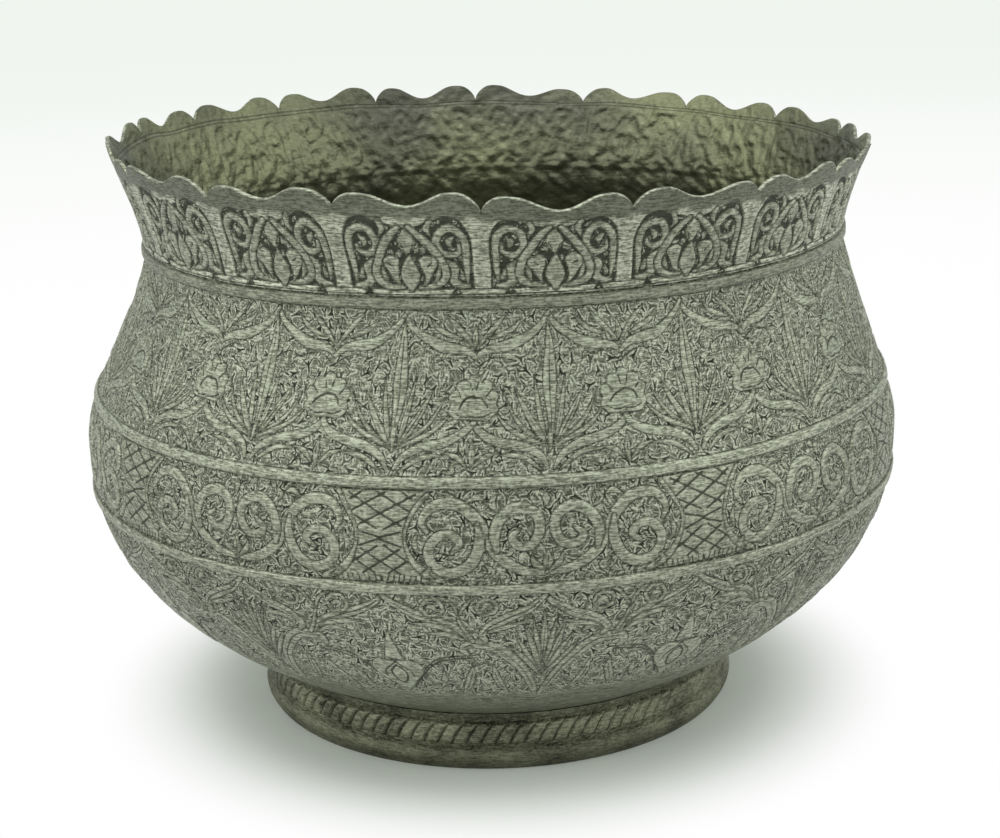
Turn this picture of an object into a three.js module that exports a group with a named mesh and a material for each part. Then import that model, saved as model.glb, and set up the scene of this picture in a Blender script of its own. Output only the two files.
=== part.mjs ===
// Tinned copper bowl with a bracket-lobed rim, raised from one sheet, on a soldered foot ring.
// Millimetres, +Z up. The origin is the centre of the foot, on the surface that the bowl stands on.

import * as THREE from 'three';

// Driving dimensions of the vessel
const bellyRadius = 139.1;
const bellyHeight = 100;
const neckRadius = 118.2;
const neckHeight = 163.6;
const rimRadius = 127.8;
const rimHeight = 195.8;
const bottomHeight = 14.6;
const wall = 1.4;

// Lobed rim: notches and saddles are measured down from the lobe tips
const bracketCount = 18;
const notchDepth = 5.4;
const notchSharpness = 0.7;
const saddleDepth = 3.8;
const lobePlace = 0.19;

// Chased panels of the neck, one under each bracket, sunk between plain strips. Widths are shares of a
// bracket, and the upper corners are rounded.
const panelDepth = 0.5;
const panelFoot = 167.4;
const panelHead = 189;
const panelFlank = 0.6;
const panelStrip = 0.068;
const panelEdge = 0.014;
const cornerDrop = 4;
const cornerShare = 0.1;

// The bowl was set out by eye: round the neck and rim, panels and brackets drift from their even places
const drifts = [
  { degrees: 155, reach: 90, by: 3.8 },
  { degrees: 283, reach: 45, by: -3 }
];

// Raised belts, each a flat strip pushed out of the sheet
const beltRise = 0.8;
const beltFlank = 0.6;
const neckBelt = { height: neckHeight, width: 3.4 };
const shoulderBelt = { height: 115.3, width: 3.2 };
const bellyBelt = { height: 83.8, width: 3.4 };

// Foot ring, from the floor up: flange, rope moulding, collar
const soleRadius = 81.4;
const flangeRadius = 84.4;
const flangeHeight = 8.4;
const ropeRadius = 82.2;
const ropeHeight = 7.8;
const collarRadius = 81;
const collarHeight = 3;
const footWall = 3;
const strandCount = 108;
const strandDepth = 1;
const strandLean = 0.9;
const seatGap = 0.3;
const solderLeg = 3.2;

// How full each stretch of the outline is
const lowerFullness = 2.6;
const shoulderEase = 0.22;
const collarEase = 0.3;

// How finely round shapes are cut: columns in each bracket, and steps across each strand
const bodyColumns = 4;
const rimColumns = 12;
const halfPanelColumns = [0, panelStrip, panelStrip + panelEdge, 0.11, 0.17, 0.3, 0.5];
const strandSteps = 2;

const around = bracketCount * bodyColumns;

// Where the vessel sits on the foot ring
const footHeight = flangeHeight + ropeHeight + collarHeight;
const seatRadius = collarRadius;
const seatHeight = footHeight + seatGap;
const grooveRadius = collarRadius - 1.4;

const at = (radius, height) => new THREE.Vector2(radius, height);

// Lower wall: leaves the seat on a slant and comes upright at the belly
function lowerWall(share) {
  const height = seatHeight + share * (bellyHeight - seatHeight);
  return at(bellyRadius - (bellyRadius - seatRadius) * (1 - share) ** lowerFullness, height);
}

// Underside: runs on from the lower wall along the same slant and turns into the flat bottom
const seatSlope = (bellyHeight - seatHeight) / (lowerFullness * (bellyRadius - seatRadius));
const turnRadius = seatRadius - (seatHeight - bottomHeight) / seatSlope;
const flatRadius = 0.75 * turnRadius;
const underside = new THREE.QuadraticBezierCurve(
  at(flatRadius, bottomHeight),
  at(turnRadius, bottomHeight),
  at(seatRadius, seatHeight)
);

// Shoulder: leaves the belly upright and comes upright again at the neck
const shoulderReach = (neckHeight - bellyHeight) * shoulderEase;
const shoulder = new THREE.CubicBezierCurve(
  at(bellyRadius, bellyHeight),
  at(bellyRadius, bellyHeight + shoulderReach),
  at(neckRadius, neckHeight - shoulderReach),
  at(neckRadius, neckHeight)
);

// Collar: flares from the neck to the rim
const collar = new THREE.QuadraticBezierCurve(
  at(neckRadius, neckHeight),
  at(neckRadius, neckHeight + (rimHeight - neckHeight) * collarEase),
  at(rimRadius, rimHeight)
);

// The wall from seat to rim as one dense line, so that its radius can be read at any height
const outlineSteps = 200;
const outline = [];
for (let i = 0; i < outlineSteps; i++) {
  outline.push(lowerWall(i / outlineSteps));
}
outline.push(...shoulder.getPoints(outlineSteps).slice(0, -1));
outline.push(...collar.getPoints(outlineSteps));

function heightOnto(line, value, key) {
  const found = line.findIndex((point) => point[key] >= value);
  const upper = found === -1 ? line.length - 1 : Math.max(found, 1);
  const low = line[upper - 1];
  const high = line[upper];
  return low.clone().lerp(high, (value - low[key]) / (high[key] - low[key]));
}

const wallRadius = (height) => heightOnto(outline, height, 'y').x;
const undersideHeight = (radius) => heightOnto(underside.getPoints(outlineSteps), radius, 'x').y;

// A point on the wall at a height, moved out square to the wall
function wallPoint(height, out = 0) {
  const reach = 0.5;
  const lean = (wallRadius(height + reach) - wallRadius(height - reach)) / (2 * reach);
  const square = at(1, -lean).normalize();
  return at(wallRadius(height), height).addScaledVector(square, out);
}

// Points on the wall evenly spaced between two heights, ends left out
function wallPoints(low, high, count, out) {
  const points = [];
  for (let i = 1; i <= count; i++) {
    points.push(wallPoint(low + (high - low) * i / (count + 1), out));
  }
  return points;
}

const beltLow = (belt) => belt.height - belt.width / 2 - beltFlank;
const beltHigh = (belt) => belt.height + belt.width / 2 + beltFlank;

// Across a raised belt: foot, crest, crest, foot
function beltPoints(belt) {
  return [
    wallPoint(beltLow(belt)),
    wallPoint(belt.height - belt.width / 2, beltRise),
    wallPoint(belt.height + belt.width / 2, beltRise),
    wallPoint(beltHigh(belt))
  ];
}

function polar(radius, turn, height) {
  const angle = 2 * Math.PI * turn - Math.PI / 2;
  return new THREE.Vector3(radius * Math.cos(angle), radius * Math.sin(angle), height);
}

function ring(point, columns) {
  return Array.from({ length: columns }, (_, i) => polar(point.x, i / columns, point.y));
}

// Where a place on the neck or rim ends up, both as shares of a turn
function drifted(turn) {
  return drifts.reduce((sum, { degrees, reach, by }) => {
    const away = Math.min(1, Math.abs(360 * turn - degrees) / reach);
    return sum + by / 360 * Math.cos(Math.PI / 2 * away) ** 2;
  }, turn);
}

function neckRing(point) {
  return Array.from({ length: around }, (_, i) => polar(point.x, drifted(i / around), point.y));
}

// Depth of the cut edge below the lobe tips, where share runs from 0 to 1 across a bracket
function edgeDrop(share) {
  const near = Math.min(share, 1 - share);
  if (near < lobePlace) {
    return notchDepth * (1 - Math.sin(Math.PI / 2 * (near / lobePlace) ** notchSharpness));
  }
  return saddleDepth * (1 - Math.cos(Math.PI * (near - lobePlace) / (0.5 - lobePlace))) / 2;
}

// Columns of the rim crowd together beside each notch
function rimShare(column) {
  const even = 2 * column / rimColumns - 1;
  return (1 + Math.sign(even) * Math.abs(even) ** 0.75) / 2;
}

// A ring made bracket by bracket from a place on the wall for each share
function bracketRing(shares, place) {
  const points = [];
  for (let bracket = 0; bracket < bracketCount; bracket++) {
    for (const share of shares) {
      const point = place(share);
      points.push(polar(point.x, drifted((bracket + share) / bracketCount), point.y));
    }
  }
  return points;
}

// The cut edge, outside or inside
function edgeRing(out) {
  const shares = Array.from({ length: rimColumns }, (_, column) => rimShare(column));
  return bracketRing(shares, (share) => wallPoint(rimHeight - edgeDrop(share), out));
}

// A ring through the panels, sunk by a depth between the strips, with rounded corners or without
function panelRing(height, depth, rounding) {
  const mirrored = halfPanelColumns.slice(1, -1).reverse().map((share) => 1 - share);
  return bracketRing([...halfPanelColumns, ...mirrored], (share) => {
    const within = Math.min(share, 1 - share) - panelStrip;
    const corner = Math.min(1, Math.max(0, 1 - within / cornerShare));
    const drop = rounding * cornerDrop * (1 - Math.sqrt(1 - corner ** 2));
    return wallPoint(height - drop, within > panelEdge / 2 ? -depth : 0);
  });
}

// Joins rings of points into one closed skin, outside first. A ring of one point is a pole, and
// neighbouring rings may have different numbers of points.
function skin(rings, closesOnItself) {
  const positions = [];
  const starts = rings.map((points) => {
    const start = positions.length / 3;
    points.forEach((point) => positions.push(point.x, point.y, point.z));
    return start;
  });
  const indices = [];
  const joins = closesOnItself ? rings.length : rings.length - 1;
  for (let r = 0; r < joins; r++) {
    const s = (r + 1) % rings.length;
    const fromCount = rings[r].length;
    const toCount = rings[s].length;
    const from = (i) => starts[r] + i % fromCount;
    const to = (i) => starts[s] + i % toCount;
    const fromEnd = fromCount > 1 ? fromCount : 0;
    const toEnd = toCount > 1 ? toCount : 0;
    let i = 0;
    let j = 0;
    while (i < fromEnd || j < toEnd) {
      const fromNext = i < fromEnd ? (i + 1) / fromCount : Infinity;
      const toNext = j < toEnd ? (j + 1) / toCount : Infinity;
      if (fromNext <= toNext) {
        indices.push(from(i), from(i + 1), to(j));
        i += 1;
      } else {
        indices.push(from(i), to(j + 1), to(j));
        j += 1;
      }
    }
  }
  const geometry = new THREE.BufferGeometry();
  geometry.setAttribute('position', new THREE.Float32BufferAttribute(positions, 3));
  geometry.setIndex(indices);
  geometry.computeVertexNormals();
  return geometry;
}

function bowlBody() {
  const lip = rimHeight - notchDepth - 1.8;
  const panelMiddle = (panelFoot + panelHead) / 2;
  const undersidePoints = underside.getPoints(4).slice(0, -1);
  const outside = [
    ...undersidePoints,
    wallPoint(seatHeight),
    ...wallPoints(seatHeight, beltLow(bellyBelt), 7, 0),
    ...beltPoints(bellyBelt),
    ...wallPoints(beltHigh(bellyBelt), beltLow(shoulderBelt), 3, 0),
    ...beltPoints(shoulderBelt),
    ...wallPoints(beltHigh(shoulderBelt), beltLow(neckBelt), 4, 0),
    ...beltPoints(neckBelt)
  ];
  const floor = undersidePoints.map((point, i) => {
    const run = underside.getTangent(i / 4);
    return at(point.x - wall * run.y, point.y + wall * run.x);
  });
  const inside = [
    ...floor,
    wallPoint(seatHeight, -wall),
    ...wallPoints(seatHeight, neckHeight, 16, -wall)
  ];
  const insideNeck = [...wallPoints(neckHeight, lip, 3, -wall), wallPoint(lip, -wall)];
  return skin([
    [polar(0, 0, bottomHeight)],
    ...outside.map((point) => ring(point, around)),
    panelRing(panelFoot, 0, 0),
    panelRing(panelFoot + panelFlank, panelDepth, 0),
    panelRing(panelMiddle, panelDepth, 0),
    panelRing(panelHead - panelFlank, panelDepth, 1),
    panelRing(panelHead, 0, 1),
    edgeRing(0),
    edgeRing(-wall),
    ...insideNeck.reverse().map(neckRing),
    ...inside.reverse().map((point) => ring(point, around)),
    [polar(0, 0, bottomHeight + wall)]
  ], false);
}

// One ring of the rope moulding, where share runs from 0 at its foot to 1 at its head. Strands
// stand out of a rounded bead and lean to the right as they rise.
function ropeRing(share) {
  const swell = Math.sin(Math.PI * share);
  const columns = strandCount * strandSteps;
  return Array.from({ length: columns }, (_, i) => {
    const valley = (1 + Math.cos(2 * Math.PI * i / strandSteps)) / 2;
    const radius = grooveRadius + swell * (ropeRadius - grooveRadius - strandDepth * valley);
    const turn = (i / strandSteps + strandLean * share) / strandCount;
    return polar(radius, turn, flangeHeight + share * ropeHeight);
  });
}

function footRing() {
  const innerRadius = collarRadius - footWall;
  const rope = [0.15, 0.38, 0.62, 0.85].map(ropeRing);
  const flange = [
    at(soleRadius, 0),
    at(soleRadius + 0.6 * (flangeRadius - soleRadius), 0.25 * flangeHeight),
    at(flangeRadius, 0.57 * flangeHeight),
    at(flangeRadius - 0.25 * (flangeRadius - grooveRadius), 0.82 * flangeHeight),
    at(grooveRadius, flangeHeight)
  ];
  const collarAndBore = [
    at(grooveRadius, flangeHeight + ropeHeight),
    at(collarRadius, flangeHeight + ropeHeight + 0.3 * collarHeight),
    at(collarRadius, footHeight),
    at(innerRadius, undersideHeight(innerRadius) - seatGap),
    at(innerRadius, flangeHeight),
    at(innerRadius, 0)
  ];
  return skin([
    ...flange.map((point) => ring(point, around)),
    ...rope,
    ...collarAndBore.map((point) => ring(point, around))
  ], true);
}

// Solder run in the corner between the foot ring's bore and the underside
function footSolder() {
  const outer = collarRadius - footWall - seatGap;
  const inner = outer - solderLeg;
  const top = (radius) => undersideHeight(radius) - seatGap;
  const hollow = 0.35 * solderLeg;
  return skin([
    at(outer, top(outer) - solderLeg),
    at(outer, top(outer)),
    at(inner, top(inner)),
    at(outer - hollow, top(outer) - hollow)
  ].map((point) => ring(point, around)), true);
}

const tinned = new THREE.MeshStandardMaterial({ color: 0x77796b, roughness: 0.5, metalness: 0.85 });
const brownCopper = new THREE.MeshStandardMaterial({ color: 0x5d5a3f, roughness: 0.55, metalness: 0.8 });
const solderGrey = new THREE.MeshStandardMaterial({ color: 0x6f7069, roughness: 0.6, metalness: 0.8 });

function named(name, geometry, material) {
  const mesh = new THREE.Mesh(geometry, material);
  mesh.name = name;
  return mesh;
}

const bowl = new THREE.Group();
bowl.add(named('bowl_body', bowlBody(), tinned));
bowl.add(named('foot_ring', footRing(), brownCopper));
bowl.add(named('foot_solder', footSolder(), solderGrey));

export default bowl;
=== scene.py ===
# %% [markdown]
# # A chased copper bowl
# The bowl is one sheet of copper, raised with hammers, tinned, and chased all over with punch and graver.
# It stands on a separate foot ring. This lesson dresses the measured solids of those pieces: it rolls the
# bowl out flat, draws the ornament there in millimetres, and wraps the result round again.

import math

import bpy
import numpy as np
from mathutils import Matrix, Vector


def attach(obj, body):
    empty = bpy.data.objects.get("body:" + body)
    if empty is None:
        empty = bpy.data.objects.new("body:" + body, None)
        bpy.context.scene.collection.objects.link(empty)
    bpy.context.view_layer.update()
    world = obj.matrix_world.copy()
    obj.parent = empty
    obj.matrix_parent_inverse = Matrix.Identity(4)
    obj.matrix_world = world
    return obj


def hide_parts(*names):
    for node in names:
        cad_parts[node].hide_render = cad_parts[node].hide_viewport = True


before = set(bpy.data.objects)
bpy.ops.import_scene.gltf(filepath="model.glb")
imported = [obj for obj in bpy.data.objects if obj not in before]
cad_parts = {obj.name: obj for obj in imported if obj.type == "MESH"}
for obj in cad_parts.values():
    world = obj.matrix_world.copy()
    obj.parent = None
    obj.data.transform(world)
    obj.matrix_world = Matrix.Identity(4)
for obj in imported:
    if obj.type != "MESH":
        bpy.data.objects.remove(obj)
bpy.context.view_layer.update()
print("measured solids:", sorted(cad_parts))

# %% [markdown]
# ## Sizes
# Every length below is in millimetres, as on a workshop drawing, and turns into Blender's metres only when
# a mesh is made. Angles round the bowl are in degrees, from a notch of the rim at the front.

# %% Sizes of the bowl
MM = 0.001
BELLY_RADIUS = 139.1
BELLY_HEIGHT = 100.0
NECK_RADIUS = 118.2
NECK_HEIGHT = 163.6
RIM_RADIUS = 127.8
RIM_HEIGHT = 195.8
BOTTOM_HEIGHT = 14.6
WALL = 1.4
LOWER_FULLNESS = 2.6
SHOULDER_EASE = 0.22
COLLAR_EASE = 0.3
BRACKET = 20.0
NOTCH_DEPTH = 5.4
NOTCH_SHARPNESS = 0.7
SADDLE_DEPTH = 3.8
LOBE_PLACE = 0.19
LIP_FOOT = 189.7
NECK_BELT = NECK_HEIGHT
SHOULDER_BELT = 115.3
BELLY_BELT = 83.8
BELT_WIDTH = 3.3
BELT_RISE = 0.8
PLAIN_HEIGHT = 36.0

# %% [markdown]
# The foot ring is turned separately. Its seat follows the underside of the bowl with a small gap, where the
# solder runs, so its sizes start at the table and end at the seat.

# %% Sizes of the foot ring
SOLE_RADIUS = 81.4
FLANGE_RADIUS = 84.4
FLANGE_HEIGHT = 8.4
ROPE_RADIUS = 82.2
ROPE_HEIGHT = 7.8
COLLAR_RADIUS = 81.0
COLLAR_HEIGHT = 3.0
FOOT_WALL = 3.0
STRANDS = 108
SEAT_GAP = 0.3
SOLDER_LEG = 3.2
FOOT_HEIGHT = FLANGE_HEIGHT + ROPE_HEIGHT + COLLAR_HEIGHT
SEAT_RADIUS = COLLAR_RADIUS
SEAT_HEIGHT = FOOT_HEIGHT + SEAT_GAP
GROOVE_RADIUS = COLLAR_RADIUS - 1.4
print("the bowl sits on the ring at", round(SEAT_HEIGHT, 1), "mm above the table")

# %% [markdown]
# ## Camera
# The photograph was taken from a little above, with a normal lens. Its place was worked out from the
# ellipses of the rim, the belts and the foot, so that the render can be laid over the photograph.

# %% Camera
LENS = 73.81
SENSOR = 36.0
CAMERA_DISTANCE = 0.6922
CAMERA_HEIGHT = 0.2959
CAMERA_TURN = math.radians(1.2)
CAMERA_AIM = math.radians(0.24) - CAMERA_TURN
CAMERA_PITCH = math.radians(16.18)
CAMERA_ROLL = math.radians(-1.48)

lens = bpy.data.cameras.new("camera")
lens.sensor_width = SENSOR
lens.lens = LENS
camera = bpy.data.objects.new("camera", lens)
bpy.context.scene.collection.objects.link(camera)
ahead = Vector((
    math.sin(CAMERA_AIM) * math.cos(CAMERA_PITCH),
    math.cos(CAMERA_AIM) * math.cos(CAMERA_PITCH),
    -math.sin(CAMERA_PITCH),
))
level_right = ahead.cross(Vector((0, 0, 1))).normalized()
level_up = level_right.cross(ahead)
right = math.cos(CAMERA_ROLL) * level_right + math.sin(CAMERA_ROLL) * level_up
up = right.cross(ahead)
spot = Vector((
    CAMERA_DISTANCE * math.sin(CAMERA_TURN),
    -CAMERA_DISTANCE * math.cos(CAMERA_TURN),
    CAMERA_HEIGHT,
))
camera.matrix_world = Matrix.Translation(spot) @ Matrix((right, up, -ahead)).transposed().to_4x4()
bpy.context.scene.camera = camera
print("camera at", [round(v, 3) for v in spot])

# %% [markdown]
# ## Node helpers
# Materials and Geometry Nodes are both made of nodes. A few small helpers keep the cells short. They add a
# node and fill in its sockets, chain a calculation, and map one range of values to another.

# %% Node helpers
def add(tree, kind, inputs=None, **settings):
    node = tree.nodes.new(kind)
    for name, value in settings.items():
        setattr(node, name, value)
    for socket, value in (inputs or {}).items():
        if isinstance(value, bpy.types.NodeSocket):
            tree.links.new(value, node.inputs[socket])
        else:
            node.inputs[socket].default_value = value
    return node


def math_node(tree, operation, *values):
    return add(tree, "ShaderNodeMath", dict(enumerate(values)), operation=operation).outputs[0]


def times(tree, value, factor):
    return math_node(tree, "MULTIPLY", value, factor)


def times_plus(tree, value, factor, offset):
    return math_node(tree, "MULTIPLY_ADD", value, factor, offset)


def larger(tree, one, other):
    return math_node(tree, "MAXIMUM", one, other)


def unsigned(tree, value):
    return math_node(tree, "ABSOLUTE", value)


def vector_node(tree, operation, first, second):
    """A calculation with two vectors, or with a vector and the number that scales it."""
    sockets = {0: first, 3 if operation == "SCALE" else 1: second}
    return add(tree, "ShaderNodeVectorMath", sockets, operation=operation).outputs[0]


def split_up(tree, vector):
    return add(tree, "ShaderNodeSeparateXYZ", {"Vector": vector}).outputs


def ramp(tree, value, low, high, out_low=0.0, out_high=1.0):
    sockets = {"Value": value, "From Min": low, "From Max": high, "To Min": out_low, "To Max": out_high}
    return add(tree, "ShaderNodeMapRange", sockets, interpolation_type="SMOOTHSTEP").outputs["Result"]

# %% [markdown]
# Materials need a few more helpers. They read where a point lies on its piece and what the mesh carries
# there, make noise, mix two colours, and open a shader node group with named sockets.

# %% Material helpers
FLOAT = "NodeSocketFloat"


def object_place(tree):
    return add(tree, "ShaderNodeTexCoord").outputs["Object"]


def carried(tree, name):
    """A value that the mesh carries at each point."""
    return add(tree, "ShaderNodeAttribute", attribute_name=name).outputs["Fac"]


def noise(tree, place, scale, detail):
    sockets = {"Vector": place, "Scale": scale, "Detail": detail}
    return add(tree, "ShaderNodeTexNoise", sockets).outputs[0]


def blend_colours(tree, share, low, high):
    node = add(tree, "ShaderNodeMix", data_type="RGBA")
    for socket, value in ((node.inputs[0], share), (node.inputs[6], low), (node.inputs[7], high)):
        if isinstance(value, bpy.types.NodeSocket):
            tree.links.new(value, socket)
        else:
            socket.default_value = value
    return node.outputs[2]


def new_group(name, inputs, outputs):
    group = bpy.data.node_groups.new(name, "ShaderNodeTree")
    for label, (kind, value) in inputs.items():
        group.interface.new_socket(label, in_out="INPUT", socket_type=kind).default_value = value
    for label, kind in outputs.items():
        group.interface.new_socket(label, in_out="OUTPUT", socket_type=kind)
    start = group.nodes.new("NodeGroupInput")
    end = group.nodes.new("NodeGroupOutput")
    return group, start.outputs, end.inputs


print("numbers pass between groups through sockets of the type", FLOAT)

# %% [markdown]
# ## Outline
# A raised vessel is round, so one line from the foot to the rim gives its whole form. The same curves shape
# the solids: a power curve under the belly, a cubic curve over the shoulder and a quadratic one at the neck.

# %% Outline
def bezier(corners, steps):
    share = np.linspace(0, 1, steps)[:, None]
    order = len(corners) - 1
    weights = [math.comb(order, k) * share**k * (1 - share) ** (order - k) for k in range(order + 1)]
    return sum(weight * np.array(corner) for weight, corner in zip(weights, corners))


climb = np.linspace(0, 1, 200, endpoint=False)
lower_wall = np.stack([
    BELLY_RADIUS - (BELLY_RADIUS - SEAT_RADIUS) * (1 - climb) ** LOWER_FULLNESS,
    SEAT_HEIGHT + climb * (BELLY_HEIGHT - SEAT_HEIGHT),
], axis=1)
shoulder_reach = (NECK_HEIGHT - BELLY_HEIGHT) * SHOULDER_EASE
shoulder_wall = bezier([
    (BELLY_RADIUS, BELLY_HEIGHT),
    (BELLY_RADIUS, BELLY_HEIGHT + shoulder_reach),
    (NECK_RADIUS, NECK_HEIGHT - shoulder_reach),
    (NECK_RADIUS, NECK_HEIGHT),
], 200)[:-1]
collar_wall = bezier([
    (NECK_RADIUS, NECK_HEIGHT),
    (NECK_RADIUS, NECK_HEIGHT + (RIM_HEIGHT - NECK_HEIGHT) * COLLAR_EASE),
    (RIM_RADIUS, RIM_HEIGHT),
], 200)
wall_line = np.concatenate([lower_wall, shoulder_wall, collar_wall])
seat_slope = (BELLY_HEIGHT - SEAT_HEIGHT) / (LOWER_FULLNESS * (BELLY_RADIUS - SEAT_RADIUS))
turn_radius = SEAT_RADIUS - (SEAT_HEIGHT - BOTTOM_HEIGHT) / seat_slope
underside_line = bezier([
    (0.75 * turn_radius, BOTTOM_HEIGHT),
    (turn_radius, BOTTOM_HEIGHT),
    (SEAT_RADIUS, SEAT_HEIGHT),
], 60)


def wall_radius(height):
    return np.interp(height, wall_line[:, 1], wall_line[:, 0])


def wall_normal(height):
    lean = wall_radius(height + 0.5) - wall_radius(height - 0.5)
    length = np.hypot(1, lean)
    return 1 / length, -lean / length


def underside(radius):
    """Height of the underside, between the flat bottom and the seat of the ring."""
    return np.interp(radius, underside_line[:, 0], underside_line[:, 1])


def edge_drop(share):
    near = np.minimum(share, 1 - share)
    notch = NOTCH_DEPTH * (1 - np.sin(np.pi / 2 * np.minimum(near / LOBE_PLACE, 1) ** NOTCH_SHARPNESS))
    past = np.clip((near - LOBE_PLACE) / (0.5 - LOBE_PLACE), 0, 1)
    return notch + SADDLE_DEPTH * (1 - np.cos(np.pi * past)) / 2


print("turn of the underside at radius", round(turn_radius, 1))

# %% [markdown]
# ## Rolling a band out flat
# A chaser marks out one stretch of band and repeats it. Here that stretch is a tablet: a fine grid of
# heights, 40 degrees long, that repeats nine times round the bowl. Two distances are kept at each point of
# it: how far inside a raised shape it lies, and how far from the nearest cut line. Distances stay smooth
# between the points of a mesh, so outlines drawn from them are crisper than the mesh itself. A third value
# says how far a place has been rubbed clean, from 0 in dirty hollows to 1 where the metal is bare.

# %% Smooth steps and lines
SPAN = 40.0
FAR = 9.0
CELL = 0.16
STRAY = 0.16
OVERLAP_GAP = 0.3
LEAF_SINK = 0.6


def smooth(low, high, value):
    share = np.clip((value - low) / (high - low), 0, 1)
    return share * share * (3 - 2 * share)


def spline(points, steps=7):
    """A smooth line through the points."""
    p = np.array(points, float)
    p = np.concatenate([[2 * p[0] - p[1]], p, [2 * p[-1] - p[-2]]])
    t = np.linspace(0, 1, steps, endpoint=False)[:, None]
    parts = [
        0.5 * (2 * b + (c - a) * t + (2 * a - 5 * b + 4 * c - d) * t**2 + (3 * b - a - 3 * c + d) * t**3)
        for a, b, c, d in zip(p, p[1:], p[2:], p[3:])
    ]
    return np.concatenate(parts + [p[-2:-1]])


print("tablets are", SPAN, "degrees long and drawn in cells of", CELL, "mm")

# %% [markdown]
# A blank tablet knows where its points lie, measures how far they are from a line, and lays one shape over
# another. Each motif is copied to every axis of the tablet, with the small strays of a chaser's hand.

# %% Blank tablet
class BlankTablet:
    """One stretch of band, rolled out: degrees round the bowl and millimetres up it."""

    def __init__(self, radius, low, high, axes, surface=-FAR, clean=0.4, rubbed=0.5):
        self.degree = math.radians(1) * radius
        self.low = low
        self.axes = axes
        self.columns = round(SPAN * self.degree / CELL)
        self.step = SPAN * self.degree / self.columns
        rows = round((high - low) / CELL) + 1
        self.raised = np.full((rows, self.columns), surface, np.float32)
        self.line = np.full((rows, self.columns), FAR, np.float32)
        self.rub = np.full((rows, self.columns), rubbed if surface > 0 else clean, np.float32)
        self.clean = clean
        self.crest = 0
        self.hand = np.random.default_rng(self.columns)

    def levels(self):
        return self.low + np.arange(len(self.raised)) * CELL

    def window(self, points, margin):
        """The part of the grid round some points, and its coordinates in millimetres."""
        left, bottom = points.min(0) - margin
        far_right, top = points.max(0) + margin
        columns = np.arange(math.floor(left / self.step), math.ceil(far_right / self.step) + 1)
        rows = np.arange(
            max(0, math.floor((bottom - self.low) / CELL)),
            min(len(self.raised), math.ceil((top - self.low) / CELL) + 1),
        )
        x, z = np.meshgrid(columns * self.step, self.low + rows * CELL)
        return np.ix_(rows, columns % self.columns), x.astype(np.float32), z.astype(np.float32)

    def measure(self, points, margin):
        """Distance from each point of the window to a line, and how far along it the nearest place is."""
        place, x, z = self.window(points, margin)
        start = points[:-1].astype(np.float32)
        step = np.diff(points, axis=0).astype(np.float32)
        length = np.hypot(step[:, 0], step[:, 1]) + 1e-6
        gap_x = x[..., None] - start[:, 0]
        gap_z = z[..., None] - start[:, 1]
        along = np.clip((gap_x * step[:, 0] + gap_z * step[:, 1]) / length**2, 0, 1)
        away = (gap_x - along * step[:, 0]) ** 2 + (gap_z - along * step[:, 1]) ** 2
        nearest = away.argmin(-1)[..., None]
        away = np.sqrt(np.take_along_axis(away, nearest, -1)[..., 0])
        along = np.take_along_axis(along, nearest, -1)[..., 0]
        nearest = nearest[..., 0]
        travelled = np.concatenate([[0], np.cumsum(length)])
        return place, away, (travelled[nearest] + along * length[nearest]) / travelled[-1]

    def copies(self, points, about, mirror):
        """The points in millimetres, on every axis of the tablet and mirrored across it. A chaser's hand
        is never quite steady, so each point of each copy strays a little."""
        p = np.array(points, float)
        for axis in self.axes:
            for side in (1, -1) if mirror else (1,):
                copy = np.stack([(axis + about + side * p[:, 0]) * self.degree, p[:, 1]], axis=1)
                yield copy + np.clip(self.hand.normal(0, STRAY, copy.shape), -2 * STRAY, 2 * STRAY)

    def paint(self, place, inside, rub):
        """Lays a shape over what is there: it hides the lines under it and keeps a gap round itself."""
        self.line[place] = np.where(inside > 0.1, FAR, self.line[place])
        before = self.raised[place]
        below = np.minimum(before, -inside - OVERLAP_GAP)
        self.raised[place] = np.maximum(np.where(before > -OVERLAP_GAP, below, before), inside)
        self.rub[place] = np.where(inside > -0.1, rub, self.rub[place])


print("a point of a copy strays by up to", 2 * STRAY, "mm")

# %% [markdown]
# With distances at hand, the chaser's tools are short. A leaf is a smooth line with a width that swells and
# tapers. A cut is a line with no body. A closed shape is raised, or sunk to clear the ground of a panel.

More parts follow.
